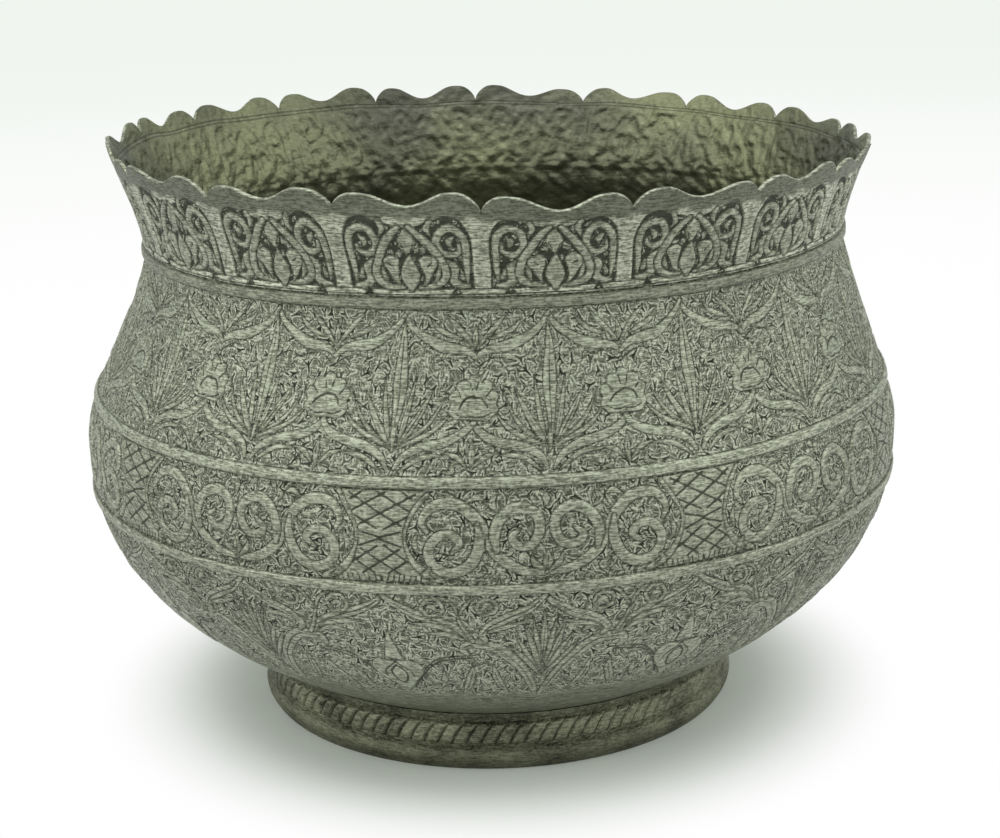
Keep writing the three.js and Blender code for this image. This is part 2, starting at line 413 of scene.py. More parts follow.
# %% Drawing tools
class DrawnTablet(BlankTablet):
    """A tablet with the tools that draw single motifs."""

    def leaf(self, points, widths, about=0.0, vein=False, mirror=True, rub=0.4):
        """A tapering band or leaf along a smooth line, with its half-widths from end to end."""
        knots = np.linspace(0, 1, len(widths))
        for copy in self.copies(points, about, mirror):
            path = spline(copy)
            place, away, share = self.measure(path, max(widths) + 1)
            inside = np.interp(share, knots, widths) - away
            self.paint(place, inside, rub)
            if vein:
                middle = np.where((inside > 0.35) & (share > 0.08) & (share < 0.9), away, FAR)
                self.line[place] = np.minimum(self.line[place], middle)

    def cut(self, points, width=0.0, about=0.0, mirror=True):
        """An engraved line."""
        for copy in self.copies(points, about, mirror):
            place, away, _ = self.measure(spline(copy), 1.5)
            self.line[place] = np.minimum(self.line[place], np.maximum(away - width, 0))

    def shape(self, points, about=0.0, mirror=True, sunk=False, curved=True, spread=3.0, rub=0.5):
        """A closed shape, either raised or sunk below its surroundings."""
        for copy in self.copies(points, about, mirror):
            ring = np.concatenate([copy, copy[:1]])
            path = spline(ring) if curved else ring
            place, away, _ = self.measure(path, spread)
            inner = np.zeros(away.shape, bool)
            _, x, z = self.window(path, spread)
            for (x0, z0), (x1, z1) in zip(path, path[1:]):
                if z0 != z1:
                    inner ^= ((z0 > z) != (z1 > z)) & (x < (x1 - x0) * (z - z0) / (z1 - z0) + x0)
            inside = np.where(inner, away, -away)
            if sunk:
                self.raised[place] = np.minimum(self.raised[place], -inside)
                self.rub[place] = np.where(inner, self.clean, self.rub[place])
            else:
                self.paint(place, inside, rub)

    def circle(self, height, radius, width, about=0.0, mirror=True, offset=0.0):
        """A ring of band."""
        angles = np.linspace(0, 2 * np.pi, 25)
        across = offset + radius / self.degree * np.cos(angles)
        points = np.stack([across, height + radius * np.sin(angles)], axis=1)
        self.leaf(points, [width, width], about, mirror=mirror)


print("drawing tools:", [tool for tool in vars(DrawnTablet) if not tool.startswith("_")])

# %% [markdown]
# Some work runs all the way round a band: engraved lines, plain belts, and zones that are cleaner or dirtier
# than the rest. The sunk ground between the motifs is filled last, with small low leaves in tufts of three.

# %% Work that runs all round
class BandTablet(DrawnTablet):
    """A tablet with the tools that work a whole band."""

    def rounds(self, *heights):
        """Lines engraved all the way round."""
        for height in heights:
            self.line = np.minimum(self.line, np.abs(self.levels() - height)[:, None])

    def belt(self, height, rub=0.45):
        """A plain raised strip with a groove on each side of it."""
        inside = (BELT_WIDTH / 2 - np.abs(self.levels() - height))[:, None]
        self.line = np.where(inside > -0.5, FAR, self.line)
        self.line = np.minimum(self.line, np.abs(inside - 0.85) + 0.16)
        near = np.maximum(np.minimum(self.raised, -inside - 0.35), inside)
        self.raised = np.where(inside > -1.2, near, self.raised)
        self.rub = np.where(inside > -0.1, rub, self.rub)
        self.crest = self.crest + BELT_RISE * smooth(-0.5, 0.3, inside)

    def plain(self, low, high):
        """Ground that fades out from the ornament above into plain metal below."""
        wave = np.cos(2 * np.pi * np.arange(self.columns) / self.columns * np.array([[4.0]]))
        bare = 1 - smooth(low, high, self.levels()[:, None] + 0.8 * wave)
        self.rub = np.where(self.raised < 0, np.maximum(self.rub, bare), self.rub)

    def dull(self, low, high, rub):
        """A zone that turns gradually, along a wavy border, into the unrubbed metal above it."""
        turn = 2 * np.pi * np.arange(self.columns) / self.columns
        wave = np.sin(7 * turn) + np.sin(11 * turn + 1) + 0.6 * np.sin(29 * turn + 2)
        share = smooth(low, high, self.levels()[:, None] + 0.3 * wave)
        self.rub = self.rub * (1 - share) + rub * share

    def foliage(self, seed, pitch, length, width, rub=0.5):
        """Fills sunk ground with tufts of small low leaves, one tuft to each jittered cell."""
        rng = np.random.default_rng(seed)
        high, wide = self.raised.shape
        across = round(self.columns * self.step / pitch)
        cell = self.columns * self.step / across
        up = math.ceil(high * CELL / cell) + 2
        centre = rng.uniform(0.15, 0.85, (up, across, 2)) * cell
        heading = rng.uniform(0, 2 * np.pi, (up, across))
        size = rng.uniform(0.7, 1.3, (up, across))
        spread = rng.uniform(0.6, 1.1, (up, across))
        x, z = np.meshgrid(np.arange(wide) * self.step, (np.arange(high) + 1) * CELL)
        column, row = (x // cell).astype(int), (z // cell).astype(int)
        bump = np.full((high, wide), -FAR)
        for i in (-1, 0, 1):
            for j in (-1, 0, 1):
                r, c = np.clip(row + j, 0, up - 1), (column + i) % across
                gap_x = x - (column + i) * cell - centre[r, c, 0]
                gap_z = z - (row + j) * cell - centre[r, c, 1]
                for turn in (-1, 0, 1):
                    angle = heading[r, c] + turn * spread[r, c]
                    u = (gap_x * np.cos(angle) + gap_z * np.sin(angle)) / size[r, c]
                    v = (gap_z * np.cos(angle) - gap_x * np.sin(angle)) / size[r, c]
                    t = np.clip(u / length, 0, 1)
                    leaf = width * (4 * t * (1 - t)) ** 0.7 - np.hypot(v, u - t * length)
                    bump = np.maximum(bump, np.minimum(leaf, 0.3))
        ground = (self.raised < -0.45) & (self.rub < 0.9)
        self.rub = np.where(ground & (bump > -0.05), rub, self.rub)
        self.raised = np.where(ground, np.maximum(self.raised, bump - LEAF_SINK), self.raised)


print("band tools:", [tool for tool in vars(BandTablet) if not tool.startswith("_")])

# %% [markdown]
# Once a tablet is drawn, its distances turn into heights. Sunk ground drops by the depth of the relief,
# raised shapes get a soft crown, and lines become V-shaped cuts. Any place on the bowl can then be looked up.

# %% Heights from distances
class Tablet(BandTablet):
    """A tablet that can be turned into heights and read."""

    def finish(self, depth, graver=0.22):
        """Turns the distances into heights: sunk ground, crowned shapes and V-shaped cuts."""
        sunk = (1 - smooth(-0.4, 0.25, self.raised)) * (1 - smooth(0.85, 1, self.rub))
        sunk = sunk * (1 - 0.5 * smooth(-0.8, -0.4, np.where(self.raised < -0.3, self.raised, -FAR)))
        crown = (1 - np.clip(self.raised / 1.3, 0, 1)) ** 2
        groove = 1 - smooth(0, 0.5, np.minimum(self.line, np.abs(self.raised)))
        groove = groove * (1 - smooth(0.9, 1, self.rub))
        self.raised = np.clip(self.raised, -2, 3)
        self.height = self.crest - depth * sunk - 0.15 * crown - graver * groove
        print("tablet of", self.height.shape, "points, down to", round(float(self.height.min()), 2), "mm")

    def read(self, degrees, heights):
        """Height, both distances and the rubbing at places on the bowl."""
        column = (np.asarray(degrees) % SPAN) * self.degree / self.step
        row = np.clip((np.asarray(heights) - self.low) / CELL, 0, len(self.height) - 1.001)
        i, j = np.floor(column).astype(int), np.floor(row).astype(int)
        fx, fz = column - i, row - j
        results = []
        for grid in (self.height, self.raised, self.line, self.rub):
            a, b = i % self.columns, (i + 1) % self.columns
            lower = grid[j, a] * (1 - fx) + grid[j, b] * fx
            upper = grid[j + 1, a] * (1 - fx) + grid[j + 1, b] * fx
            results.append(lower * (1 - fz) + upper * fz)
        return results


def both_sides(half):
    """A closed outline from its right half, which starts and ends on the axis."""
    return half + [(-x, z) for x, z in half[-2:0:-1]]


print("a shape that lies over another keeps a gap of", OVERLAP_GAP, "mm round itself")

# %% [markdown]
# ## Neck panels
# Eighteen panels run round the neck, divided by plain upright strips. Each has round shoulders that follow
# the lobes of the rim. On a dark sunk ground stand two ring scrolls, a pair of crossing stems, a bud, a
# pointed leaf and two split leaves. The points are degrees from the panel's axis and heights on the bowl.

# %% Draw the neck panels
neck = Tablet(119, NECK_BELT - 1.5, LIP_FOOT + 1.5, (9.4, 29.4), surface=FAR, clean=0.0, rubbed=0.88)
neck.shape(both_sides([
    (0, 186.2), (2, 186.8), (4.2, 188.4), (5.8, 189.3), (7.4, 188.3), (8.5, 184.9), (8.8, 179.5), (8.8, 173),
    (8.8, 168.6), (8.3, 168), (4, 168), (0, 168),
]), mirror=False, sunk=True, spread=6)
neck.rounds(168, 166.3)
neck.leaf([(5.0, 176.6), (6.2, 174), (5.9, 171), (6.6, 168.9), (8.0, 168.7)], [0.4, 1.2, 1.3, 1.2, 0.5])
neck.leaf([(8.3, 172.5), (7.3, 171.2), (7.0, 173.8)], [0.2, 0.8, 0.2])
neck.leaf([(3.4, 188.1), (3.1, 185.9), (3.5, 183.6)], [0.7, 0.9, 0.2])
neck.leaf([
    (8.0, 169.8), (8.0, 174.9), (8.1, 180), (7.7, 184), (6.4, 186.3), (4.9, 185.3), (4.2, 182.3),
    (4.6, 179.5), (5.8, 178.1), (7.0, 179), (7.1, 181),
], [0.3, 0.9, 1.0, 1.1, 1.1, 1.1, 1.1, 1.0, 0.9, 0.5])
neck.leaf([(6.5, 183.6), (5.9, 181.9), (6.1, 180.6)], [0.3, 1.0, 0.3])
neck.leaf([
    (0.7, 186.3), (2.1, 183.6), (3.4, 180), (4.5, 176.3), (5.0, 172.7), (4.4, 169.9), (2.9, 168.6),
    (1.2, 168.3),
], [0.7, 1.1, 1.2, 1.2, 1.2, 1.1, 0.9, 0.4])
neck.leaf([(4.0, 174.5), (3.7, 171.7), (3.3, 169.9)], [0.2, 0.8, 0.2])
neck.shape([
    (1.3, 176.7), (2.2, 177.9), (3.4, 177.3), (3.9, 175.4), (3.2, 173), (2.5, 170.2), (1.7, 168.9),
    (1.9, 171.7), (1.5, 174.5),
])
neck.cut([(3.1, 175.8), (2.4, 174.7)])
neck.leaf([(0, 178.4), (0, 180.5), (0, 183.3), (0, 185.7)], [0.5, 1.9, 2.5, 1.9, 0.2], mirror=False)
neck.cut([(0.35, 179.3), (0.95, 181.8)])
neck.leaf([(0, 168.2), (0, 171.2), (0, 174.4), (0, 177.9)], [0.9, 2.4, 2.9, 2.4, 1.4, 0.2], mirror=False)
neck.shape([(5.5, 166.1), (6.3, 168.9), (7.1, 166.1)], sunk=True, curved=False)
neck.foliage(6, 2.6, 1.2, 0.45, rub=0.6)
neck.dull(LIP_FOOT - 1.9, LIP_FOOT - 0.3, 0.1)
neck.belt(NECK_BELT, rub=0.22)
neck.finish(depth=0.55)

# %% [markdown]
# ## Shoulder
# A lattice of leafy arches fills the shoulder. Ogee bands meet in points under the neck, lower arches stand
# on the belt, and between them grow tall spears with side leaves, each beside a blossom. Everything left
# over is filled with small leaves and short graver strokes.

# %% Draw the shoulder
shoulder = Tablet(131, SHOULDER_BELT - 3, NECK_BELT + 3, (8.2, 28.2), clean=0.5)
shoulder.leaf([
    (0, 160.4), (1.0, 157.4), (2.6, 154.7), (4.4, 152.6), (6.2, 151.4), (8.2, 150.8), (9.3, 149.8),
    (10, 148.4),
], [0.6, 0.9, 1.1, 1.4, 1.6, 1.4, 1.0, 0.6])
shoulder.cut([(4.4, 147.2), (5.8, 148.5), (7.6, 148.7), (9.0, 147.5), (10, 145.6)], 0.05)
shoulder.leaf([
    (10.1, 131.4), (9.2, 129.2), (7.8, 127.2), (6.0, 125.8), (4.0, 125.1), (2.3, 123.6), (1.2, 121.6),
    (0.5, 119),
], [0.7, 1.1, 1.25, 1.3, 1.35, 1.2, 1.0, 0.5])
shoulder.leaf([(6.8, 122.6), (4.5, 122.5), (2.8, 121), (1.2, 118.2)], [0.1, 0.7, 0.7, 0.3])
shoulder.leaf([
    (0, 124), (0, 131), (0, 136), (0, 140), (0, 146), (0, 152), (0, 158.8),
], [0.5, 0.8, 1.5, 2.2, 1.8, 1.1, 0.1], mirror=False, vein=True)
for tip, bend, width in (
    ((2.1, 143.8), (1.5, 135), 0.8),
    ((4.7, 140.2), (2.7, 132.5), 1.0),
    ((6.4, 139.3), (4.2, 131), 0.6),
    ((7.6, 135.4), (5.0, 129.3), 0.7),
):
    shoulder.leaf([(0.5, 124.5), bend, tip], [0.3, width, width * 0.8, 0.05], vein=width > 0.7)
shoulder.shape(both_sides([
    (0, 132), (1.9, 131.9), (2.7, 133), (3.2, 134.8), (3.0, 136.6), (3.3, 138.2), (2.9, 139.6), (2.3, 140.1),
    (2.2, 141.8), (1.4, 142.6), (0.9, 142.3), (0.6, 143.6), (0, 144),
]), about=10, mirror=False, rub=0.4)
shoulder.cut([(0, 138.3), (0.9, 137.9), (1.5, 136.9), (1.9, 135.4)], 0.11, about=10)
shoulder.cut([(1.6, 138.1), (2.3, 140)], 0.05, about=10)
shoulder.cut([(0.35, 139.8), (0.6, 142.2)], 0.05, about=10)
shoulder.cut([(0, 133), (1.3, 132.9), (2.4, 134)], 0.03, about=10)
shoulder.leaf([(0, 150.8), (0, 153.8), (0, 157.8)], [0.4, 1.0, 0.1], about=10, mirror=False, vein=True)
shoulder.leaf([(0.3, 151.4), (1.2, 154), (2.7, 157.5), (4.2, 160.6)], [0.3, 0.7, 0.8, 0.1], about=10)
shoulder.leaf([(1.4, 153.4), (3.3, 154.8), (5.2, 156.6), (6.4, 159.8)], [0.1, 0.7, 0.7, 0.1], about=10)
shoulder.leaf([(2.6, 121), (2.2, 118.4), (3.6, 117.9)], [0.2, 0.7, 0.2], about=10)
shoulder.leaf([(0, 119), (0, 122.5), (0, 126.8)], [0.4, 1.0, 0.1], about=10, mirror=False, vein=True)
shoulder.leaf([(0.5, 119.6), (1.8, 122.2), (3.6, 123.6)], [0.3, 0.8, 0.1], about=10)
shoulder.foliage(7, 2.9, 1.7, 0.5, rub=0.8)
shoulder.belt(SHOULDER_BELT)
shoulder.belt(NECK_BELT, rub=0.22)
shoulder.finish(depth=0.3)

# %% [markdown]
# ## Scroll band
# The widest band holds long panels of running scroll, which wind out from a leaf in the middle. Small
# bow-tie panels divide them, hatched into diamonds. The scrolls are broad and bright on a busy ground of
# small leaves.

# %% Draw the scroll band
scrolls = Tablet(138, BELLY_BELT - 3, SHOULDER_BELT + 3, (7.4,), clean=0.26)
scrolls.shape([
    (-6.2, 113.2), (6.2, 113.2), (4.4, 108.5), (3.2, 104), (2.9, 99.5), (3.2, 95), (4.8, 90.5), (7.2, 86),
    (-7.2, 86), (-4.8, 90.5), (-3.2, 95), (-2.9, 99.5), (-3.2, 104), (-4.4, 108.5),
], about=20, mirror=False, curved=False, rub=0.35)
for low_end, high_end in (
    ((-2.6, 103.2), (4.1, 112.4)), ((-3.6, 107.3), (0.6, 113)), ((0.4, 102.2), (3.4, 106)),
    ((-2.4, 96.2), (2.4, 88.6)), ((-3.2, 92.8), (-0.9, 88.8)), ((0.4, 97.4), (4.2, 91)),
    ((-2.6, 101.6), (0, 100)), ((0, 99.2), (2.6, 97.2)), ((-3.9, 110.6), (-2.4, 113)),
):
    scrolls.cut([low_end, high_end], 0.12, about=20)
for beat in range(9):
    scrolls.cut([(0.7 * beat, 86.2), (0.7 * beat + 0.15, 88.2)], 0.03, about=20)
scrolls.leaf([
    (7.4, 86.3), (5.6, 88.6), (4.2, 92), (3.3, 96), (3.0, 99.8), (3.2, 103.6), (4.1, 108), (5.6, 112.6),
], [1.0, 1.25, 1.0, 0.55, 0.45, 0.5, 0.7, 0.6], about=20)
scrolls.leaf([
    (0.4, 88.4), (3.2, 89.8), (5.8, 94.2), (7.2, 99.6), (8.4, 105), (10.8, 109.6), (13.6, 109.2), (14.9, 105),
    (14.4, 101.6),
], [0.8, 1.5, 1.7, 1.7, 1.7, 1.7, 1.6, 1.3, 0.6])
scrolls.leaf([
    (6.0, 95.6), (6.3, 101), (5.3, 106.2), (3.2, 108.2), (1.3, 106), (0.9, 101.6), (1.9, 97.6), (3.5, 97.2),
    (4.3, 99.8), (3.4, 102.2),
], [0.8, 1.5, 1.7, 1.7, 1.6, 1.5, 1.5, 1.4, 1.3, 0.6])
scrolls.leaf([
    (8.2, 104), (8.1, 97.6), (9.2, 91.8), (11.4, 89.2), (13.5, 91.2), (14.2, 96), (13.1, 100.2),
    (11.4, 100.8), (10.4, 98), (11.4, 95.4),
], [0.6, 1.5, 1.7, 1.7, 1.6, 1.5, 1.5, 1.4, 1.3, 0.6])
scrolls.leaf([(0, 88.6), (0, 91.4), (0, 95.4)], [0.5, 1.6, 0.1], mirror=False, vein=True)
scrolls.leaf([(0.3, 89.4), (1.5, 91.8), (1.8, 94.8)], [0.3, 1.0, 0.1])
scrolls.leaf([(0, 108.5), (0, 110.4), (0, 112.6)], [0.3, 1.2, 0.2], mirror=False)
scrolls.leaf([(5.8, 107.4), (6.6, 109.6), (5.9, 112)], [0.3, 1.1, 0.1], vein=True)
scrolls.leaf([(9.5, 110.2), (8.2, 111.6), (7.2, 110)], [0.3, 0.9, 0.1])
scrolls.leaf([(7.6, 91.6), (6.7, 89.4), (7.7, 87.2)], [0.2, 1.1, 0.1], vein=True)
scrolls.leaf([(14.0, 90.6), (14.6, 88.4), (13.4, 87)], [0.3, 0.9, 0.1])
scrolls.leaf([(15.4, 94.5), (15.9, 98), (15.4, 101.4)], [0.1, 0.9, 0.1])
scrolls.foliage(8, 2.1, 1.35, 0.42, rub=0.8)
scrolls.rounds(113.3, 85.9)
scrolls.belt(SHOULDER_BELT)
scrolls.belt(BELLY_BELT)
scrolls.finish(depth=0.4)

# %% [markdown]
# ## Lower band
# Under the belly, pointed arches spring from curled leaves. Every second one shelters a spray of narrow
# leaves, and the others a round bud with a tall pointed tip. Their stems run down into points at the edge.

# %% Draw the lower band
lower = Tablet(127, 18, BELLY_BELT + 3, (7.2,), clean=0.38)
lower.leaf([(0.6, 53), (0.8, 60), (1.6, 67), (2.6, 73)], [0.2, 0.7, 0.8, 0.1])
for tip, bend, width in (
    ((0, 77), (0, 66), 0.9), ((1.5, 74.4), (0.8, 64), 0.7), ((2.6, 71.6), (1.5, 62), 0.8),
    ((3.7, 68), (2.1, 60), 0.7), ((4.6, 64), (2.6, 58), 0.7),
):
    lower.leaf([(0.2, 50), bend, tip], [0.3, width, width, 0.05], vein=width > 0.75)
lower.leaf([(6.6, 68.4), (5.4, 68.6), (4.6, 66.8)], [0.3, 0.9, 0.1])
lower.cut([(9.3, 59.6), (11.6, 59), (13.8, 57.8), (15.6, 54.2), (17.0, 49.4), (18.6, 43.6)], 0.08)
lower.cut([(9.5, 58.2), (12, 57.6), (14.2, 56), (15.9, 51.8), (17.3, 47), (18.8, 42)], 0.08)
lower.leaf([
    (9.9, 60.2), (10.6, 61.8), (10.2, 63.6), (8.9, 64.6), (7.2, 64), (5.6, 61.8), (4.2, 58.4), (3.0, 54.4),
    (2.0, 49.6), (1.1, 44.4), (0.4, 38.8),
], [0.7, 1.4, 1.8, 1.9, 2.0, 1.8, 1.6, 1.6, 1.5, 1.3, 0.8], vein=True)
lower.leaf([
    (0, 80.9), (0.9, 78.8), (2.2, 76.8), (3.8, 74.8), (5.5, 72.9), (7.0, 70.7), (8.0, 68), (7.4, 65.9),
], [0.7, 1.0, 1.3, 1.5, 1.6, 1.5, 1.2, 0.7], vein=True)
lower.leaf([(1.8, 73.4), (3.6, 71.4), (5.4, 70.4), (7.0, 69)], [0.1, 0.7, 0.8, 0.4])
lower.leaf([
    (20, 81.4), (18.9, 78.9), (17.2, 76.6), (15.4, 74.8), (13.4, 72.8), (11.6, 70.8), (10.2, 68.2),
    (9.5, 65.8),
], [0.7, 1.0, 1.3, 1.5, 1.6, 1.5, 1.2, 0.6], vein=True)
lower.leaf([(17.0, 71.9), (14.8, 71.4), (12.6, 70.3), (10.8, 67.8)], [0.1, 0.8, 0.9, 0.5])
lower.leaf([(15.0, 67.8), (13.2, 68.4), (11.6, 67.6), (10.4, 65.8)], [0.1, 0.8, 0.8, 0.4])
lower.leaf([(9.0, 65.8), (9.9, 69), (10.6, 73), (10.8, 76)], [0.6, 0.55, 0.45, 0.4])
lower.leaf([(10.8, 75.4), (11.3, 78.4), (12.4, 80.6), (14.2, 81.4)], [0.4, 0.5, 0.5, 0.2])
lower.leaf([(10.6, 75.6), (9.8, 78.6), (8.8, 80.8), (7.8, 81.8)], [0.4, 0.5, 0.5, 0.2])
lower.circle(77.6, 2.9, 0.55, about=0, offset=13.9)
lower.circle(77.8, 2.7, 0.5, about=0, offset=7.2)
lower.leaf([(13.2, 76.6), (13.9, 78.2), (14.8, 77.4)], [0.3, 0.9, 0.2])
lower.leaf([(7.8, 76.6), (7.2, 78.6), (6.4, 77.6)], [0.3, 0.9, 0.2])
pointed_tip = both_sides([(0, 69.8), (0.45, 66), (0.8, 62), (1.25, 58), (1.15, 57), (0, 57.4)])
round_bud = both_sides([
    (0, 56.2), (1.1, 56.6), (2.6, 56.6), (3.6, 54.6), (3.5, 51.2), (2.5, 47.4), (1.1, 43.8), (0, 41.2),
])
lower.shape(pointed_tip, about=20, mirror=False)
lower.shape(round_bud, about=20, mirror=False)
lower.cut([(0, 54.6), (1.0, 52), (1.15, 49.4), (0.7, 46.8), (0, 45.4)], 0.14, about=20)
lower.cut([(0, 56.4), (0.6, 54.8), (1.8, 52), (2.0, 48.4)], 0.05, about=20)
lower.leaf([(9.4, 55.4), (9.7, 51), (10.4, 45.4), (11.4, 39.6)], [0.1, 1.3, 1.3, 0.2], vein=True)
lower.leaf([(6.6, 55.8), (6.2, 50), (5.4, 44.6), (4.4, 40)], [0.1, 1.2, 1.2, 0.2], vein=True)
lower.leaf([(13.4, 52.6), (13.6, 47.6), (14.4, 43)], [0.1, 1.1, 0.2])
lower.plain(38, 42)
lower.foliage(9, 2.7, 1.6, 0.5, rub=0.8)
lower.belt(BELLY_BELT)
lower.finish(depth=0.35)

# %% [markdown]
# ## Wrapping it round again
# One wedge of 40 degrees is a block of sheet metal: a fine grid outside, which takes the heights of its
# tablet, the cut edges above and below, and a coarser grid inside, where the blows from outside show as
# soft lumps. The distances go along as attributes, for the materials to read.

# %% Places on the wall
def on_wall(degrees, radius, height):
    """A place at some radius and height, with 0 degrees at the front."""
    turn = np.radians(degrees)
    return np.stack(np.broadcast_arrays(radius * np.sin(turn), -radius * np.cos(turn), height), axis=-1)


def wall_point(degrees, height, level):
    """A place on the outer wall, moved out along the wall's own normal."""
    across, upward = wall_normal(height)
    return on_wall(degrees, wall_radius(height) + level * across, height + level * upward)


print("the belly's front is at", wall_point(0, BELLY_HEIGHT, 0).round(1), "mm")

# %% [markdown]
# A mesh is rows of points and the faces between them. Two rows of equal length are joined by quads, and a
# fine row meets a coarse one in faces with more corners, so that no point is left hanging on an edge.

# %% Rows and faces
def strip(lower, upper):
    """Quads between two rows of equally many points."""
    return np.stack([lower[:-1], lower[1:], upper[1:], upper[:-1]], axis=1).tolist()


def join_rows(rows):
    """Quads between each row and the next."""
    return [face for lower, upper in zip(rows, rows[1:]) for face in strip(lower, upper)]


def fan(fine, coarse):
    """Faces between a fine row and a coarse one, each a cell of the coarse row with its fine points."""
    ratio = (len(fine) - 1) // (len(coarse) - 1)
    return [
        [coarse[i + 1], coarse[i], *fine[i * ratio:(i + 1) * ratio + 1]] for i in range(len(coarse) - 1)
    ]


def number_rows(layers):
    """The numbers of the points in each layer, when the layers are joined end to end."""
    starts = np.concatenate([[0], np.cumsum([len(layer) for layer in layers])])
    return [np.arange(start, start + len(layer)) for start, layer in zip(starts, layers)]


print("the quad between two rows of two points:", strip(np.arange(2), np.arange(2, 4)))

# %% [markdown]
# The inner face follows the outer one only softly, and carries the marks of the raising hammer. Both are
# worked out here, together with the mesh itself and the values that its points carry.

# %% Inner face and mesh
FINE = 192
COARSE = 96


def soften(grid, size):
    """A tablet blurred over a few cells, which repeats along its length."""
    reach = np.arange(-2 * size, 2 * size + 1)
    weights = np.exp(-(reach**2) / (size**2))
    weights /= weights.sum()
    across = sum(w * np.roll(grid, k, axis=1) for w, k in zip(weights, reach))
    padded = np.pad(across, ((len(reach) // 2,) * 2, (0, 0)), mode="edge")
    return sum(w * padded[k:k + len(grid)] for k, w in enumerate(weights))


def new_mesh(name, points, faces, **attributes):
    mesh = bpy.data.meshes.new(name)
    mesh.from_pydata((points * MM).tolist(), [], faces)
    for label, values in attributes.items():
        mesh.attributes.new(label, "FLOAT", "POINT").data.foreach_set("value", values.astype(np.float32))
    return mesh


def hammer_marks(degrees, height):
    """The uneven inner face, which the hammer left: many crossing waves that repeat every 40 degrees."""
    rng = np.random.default_rng(3)
    total = 0
    waves = zip(rng.integers(3, 15, 40), rng.uniform(-0.16, 0.16, 40), rng.uniform(0, 7, 40))
    for beats, climb, start in waves:
        total = total + np.cos(2 * np.pi * (beats * degrees / SPAN + climb * height) + start)
    near_neck = np.exp(-(((height - NECK_HEIGHT) / 7) ** 2))
    fade = smooth(PLAIN_HEIGHT, PLAIN_HEIGHT + 8, height) * (1 - smooth(LIP_FOOT - 6, LIP_FOOT, height))
    return (0.035 + 0.035 * near_neck) * fade * total


print("wedges have", FINE, "columns outside and", COARSE, "inside")

# %% [markdown]
# The wedge itself is built row by row. The outer rows take their heights from the tablet. The rim gets a few
# rounded rows over its edge. The inner rows follow the same heights blurred, since a blow struck from outside
# shows inside as a soft lump.

# %% Build a wedge
BLOW_THROUGH = 1.25
EDGE_ROWS = ((0.2, 0.25, 0.5), (0.7, 0.35, 0.4), (1.15, 0.25, 0.2))


def rounded_edge(degrees, edge):
    """The rows that carry the sheet over its cut edge, and the values that go with them."""
    layers = [wall_point(degrees, edge, -depth) + (0, 0, bulge) for depth, bulge, _ in EDGE_ROWS]
    marks = [np.full((FINE + 1, 5), (FAR, FAR, rub, 0.4, RIM_HEIGHT)) for _, _, rub in EDGE_ROWS]
    layers.append(wall_point(degrees, edge, -WALL))
    marks.append(np.full((FINE + 1, 5), (FAR, FAR, 0.3, 1, RIM_HEIGHT)))
    return layers, marks


def sheet_wedge(name, tablet, bottoms, tops, rows, inner_rows, rounded=False, blur=11):
    """40 degrees of wall between two edges, each a height or a function of the angle."""
    degrees = np.linspace(0, SPAN, FINE + 1)
    inner_degrees = np.linspace(0, SPAN, COARSE + 1)
    share = np.linspace(0, 1, rows)[:, None]
    heights = (1 - share) * bottoms(degrees) + share * tops(degrees)
    level, *drawn = tablet.read(np.broadcast_to(degrees, heights.shape), heights)
    layers = [wall_point(degrees, h, lift) for h, lift in zip(heights, level)]
    marks = [np.stack([r, k, b, 0 * k, h], axis=-1) for r, k, b, h in zip(*drawn, heights)]
    if rounded:
        edge_layers, edge_marks = rounded_edge(degrees, heights[-1])
        layers += edge_layers
        marks += edge_marks
    fine_count = len(layers)
    share = np.linspace(0.97 if rounded else 1, 0, inner_rows)[:, None]
    inner_heights = (1 - share) * bottoms(inner_degrees) + share * tops(inner_degrees)
    outer_height = tablet.height
    tablet.height = soften(outer_height - 0.9 * tablet.crest, blur)
    lump = tablet.read(np.broadcast_to(inner_degrees, inner_heights.shape), inner_heights)[0]
    tablet.height = outer_height
    for h, lift in zip(inner_heights, lump):
        inner_level = lift * BLOW_THROUGH - WALL + hammer_marks(inner_degrees, h)
        layers.append(wall_point(inner_degrees, h, inner_level))
        marks.append(np.stack([FAR + 0 * h, FAR + 0 * h, 0.3 + 0 * h, 1 + 0 * h, h], axis=-1))
    index = number_rows(layers)
    faces = join_rows(index[:fine_count])
    faces += fan(index[fine_count - 1], index[fine_count])
    faces += join_rows(index[fine_count:])
    faces += [face[::-1] for face in fan(index[0], index[-1])]
    marks = np.concatenate(marks)
    points = np.concatenate(layers)
    print(name, "wedge:", len(points), "points")
    labels = ("raised", "line", "rubbed", "inside", "high")
    return new_mesh(name, points, faces, **dict(zip(labels, marks.T)))


def level_edge(height):
    return lambda degrees: np.full(np.shape(degrees), float(height))

# %% [markdown]
# ## One tree that goes round the axis
# Everything on this bowl repeats round one axis, so one Geometry Nodes tree serves every piece: it copies a
# wedge round, welds the copies, then bends the whole ring out of true, as a hand-made bowl is. The bending
# depends only on the place, so neighbouring pieces bend alike and still meet. The first nodes make the
# copies and weld them.

# %% Copy and weld
around = bpy.data.node_groups.new("go round the axis", "GeometryNodeTree")
SOCKETS = {}
for label, kind in (
    ("Geometry", "NodeSocketGeometry"),
    ("Copies", "NodeSocketInt"),
    ("Unevenness", "NodeSocketFloat"),
    ("Dents", "NodeSocketFloat"),
    ("Finish", "NodeSocketMaterial"),
):
    SOCKETS[label] = around.interface.new_socket(label, in_out="INPUT", socket_type=kind).identifier
around.interface.new_socket("Geometry", in_out="OUTPUT", socket_type="NodeSocketGeometry")
given = around.nodes.new("NodeGroupInput").outputs

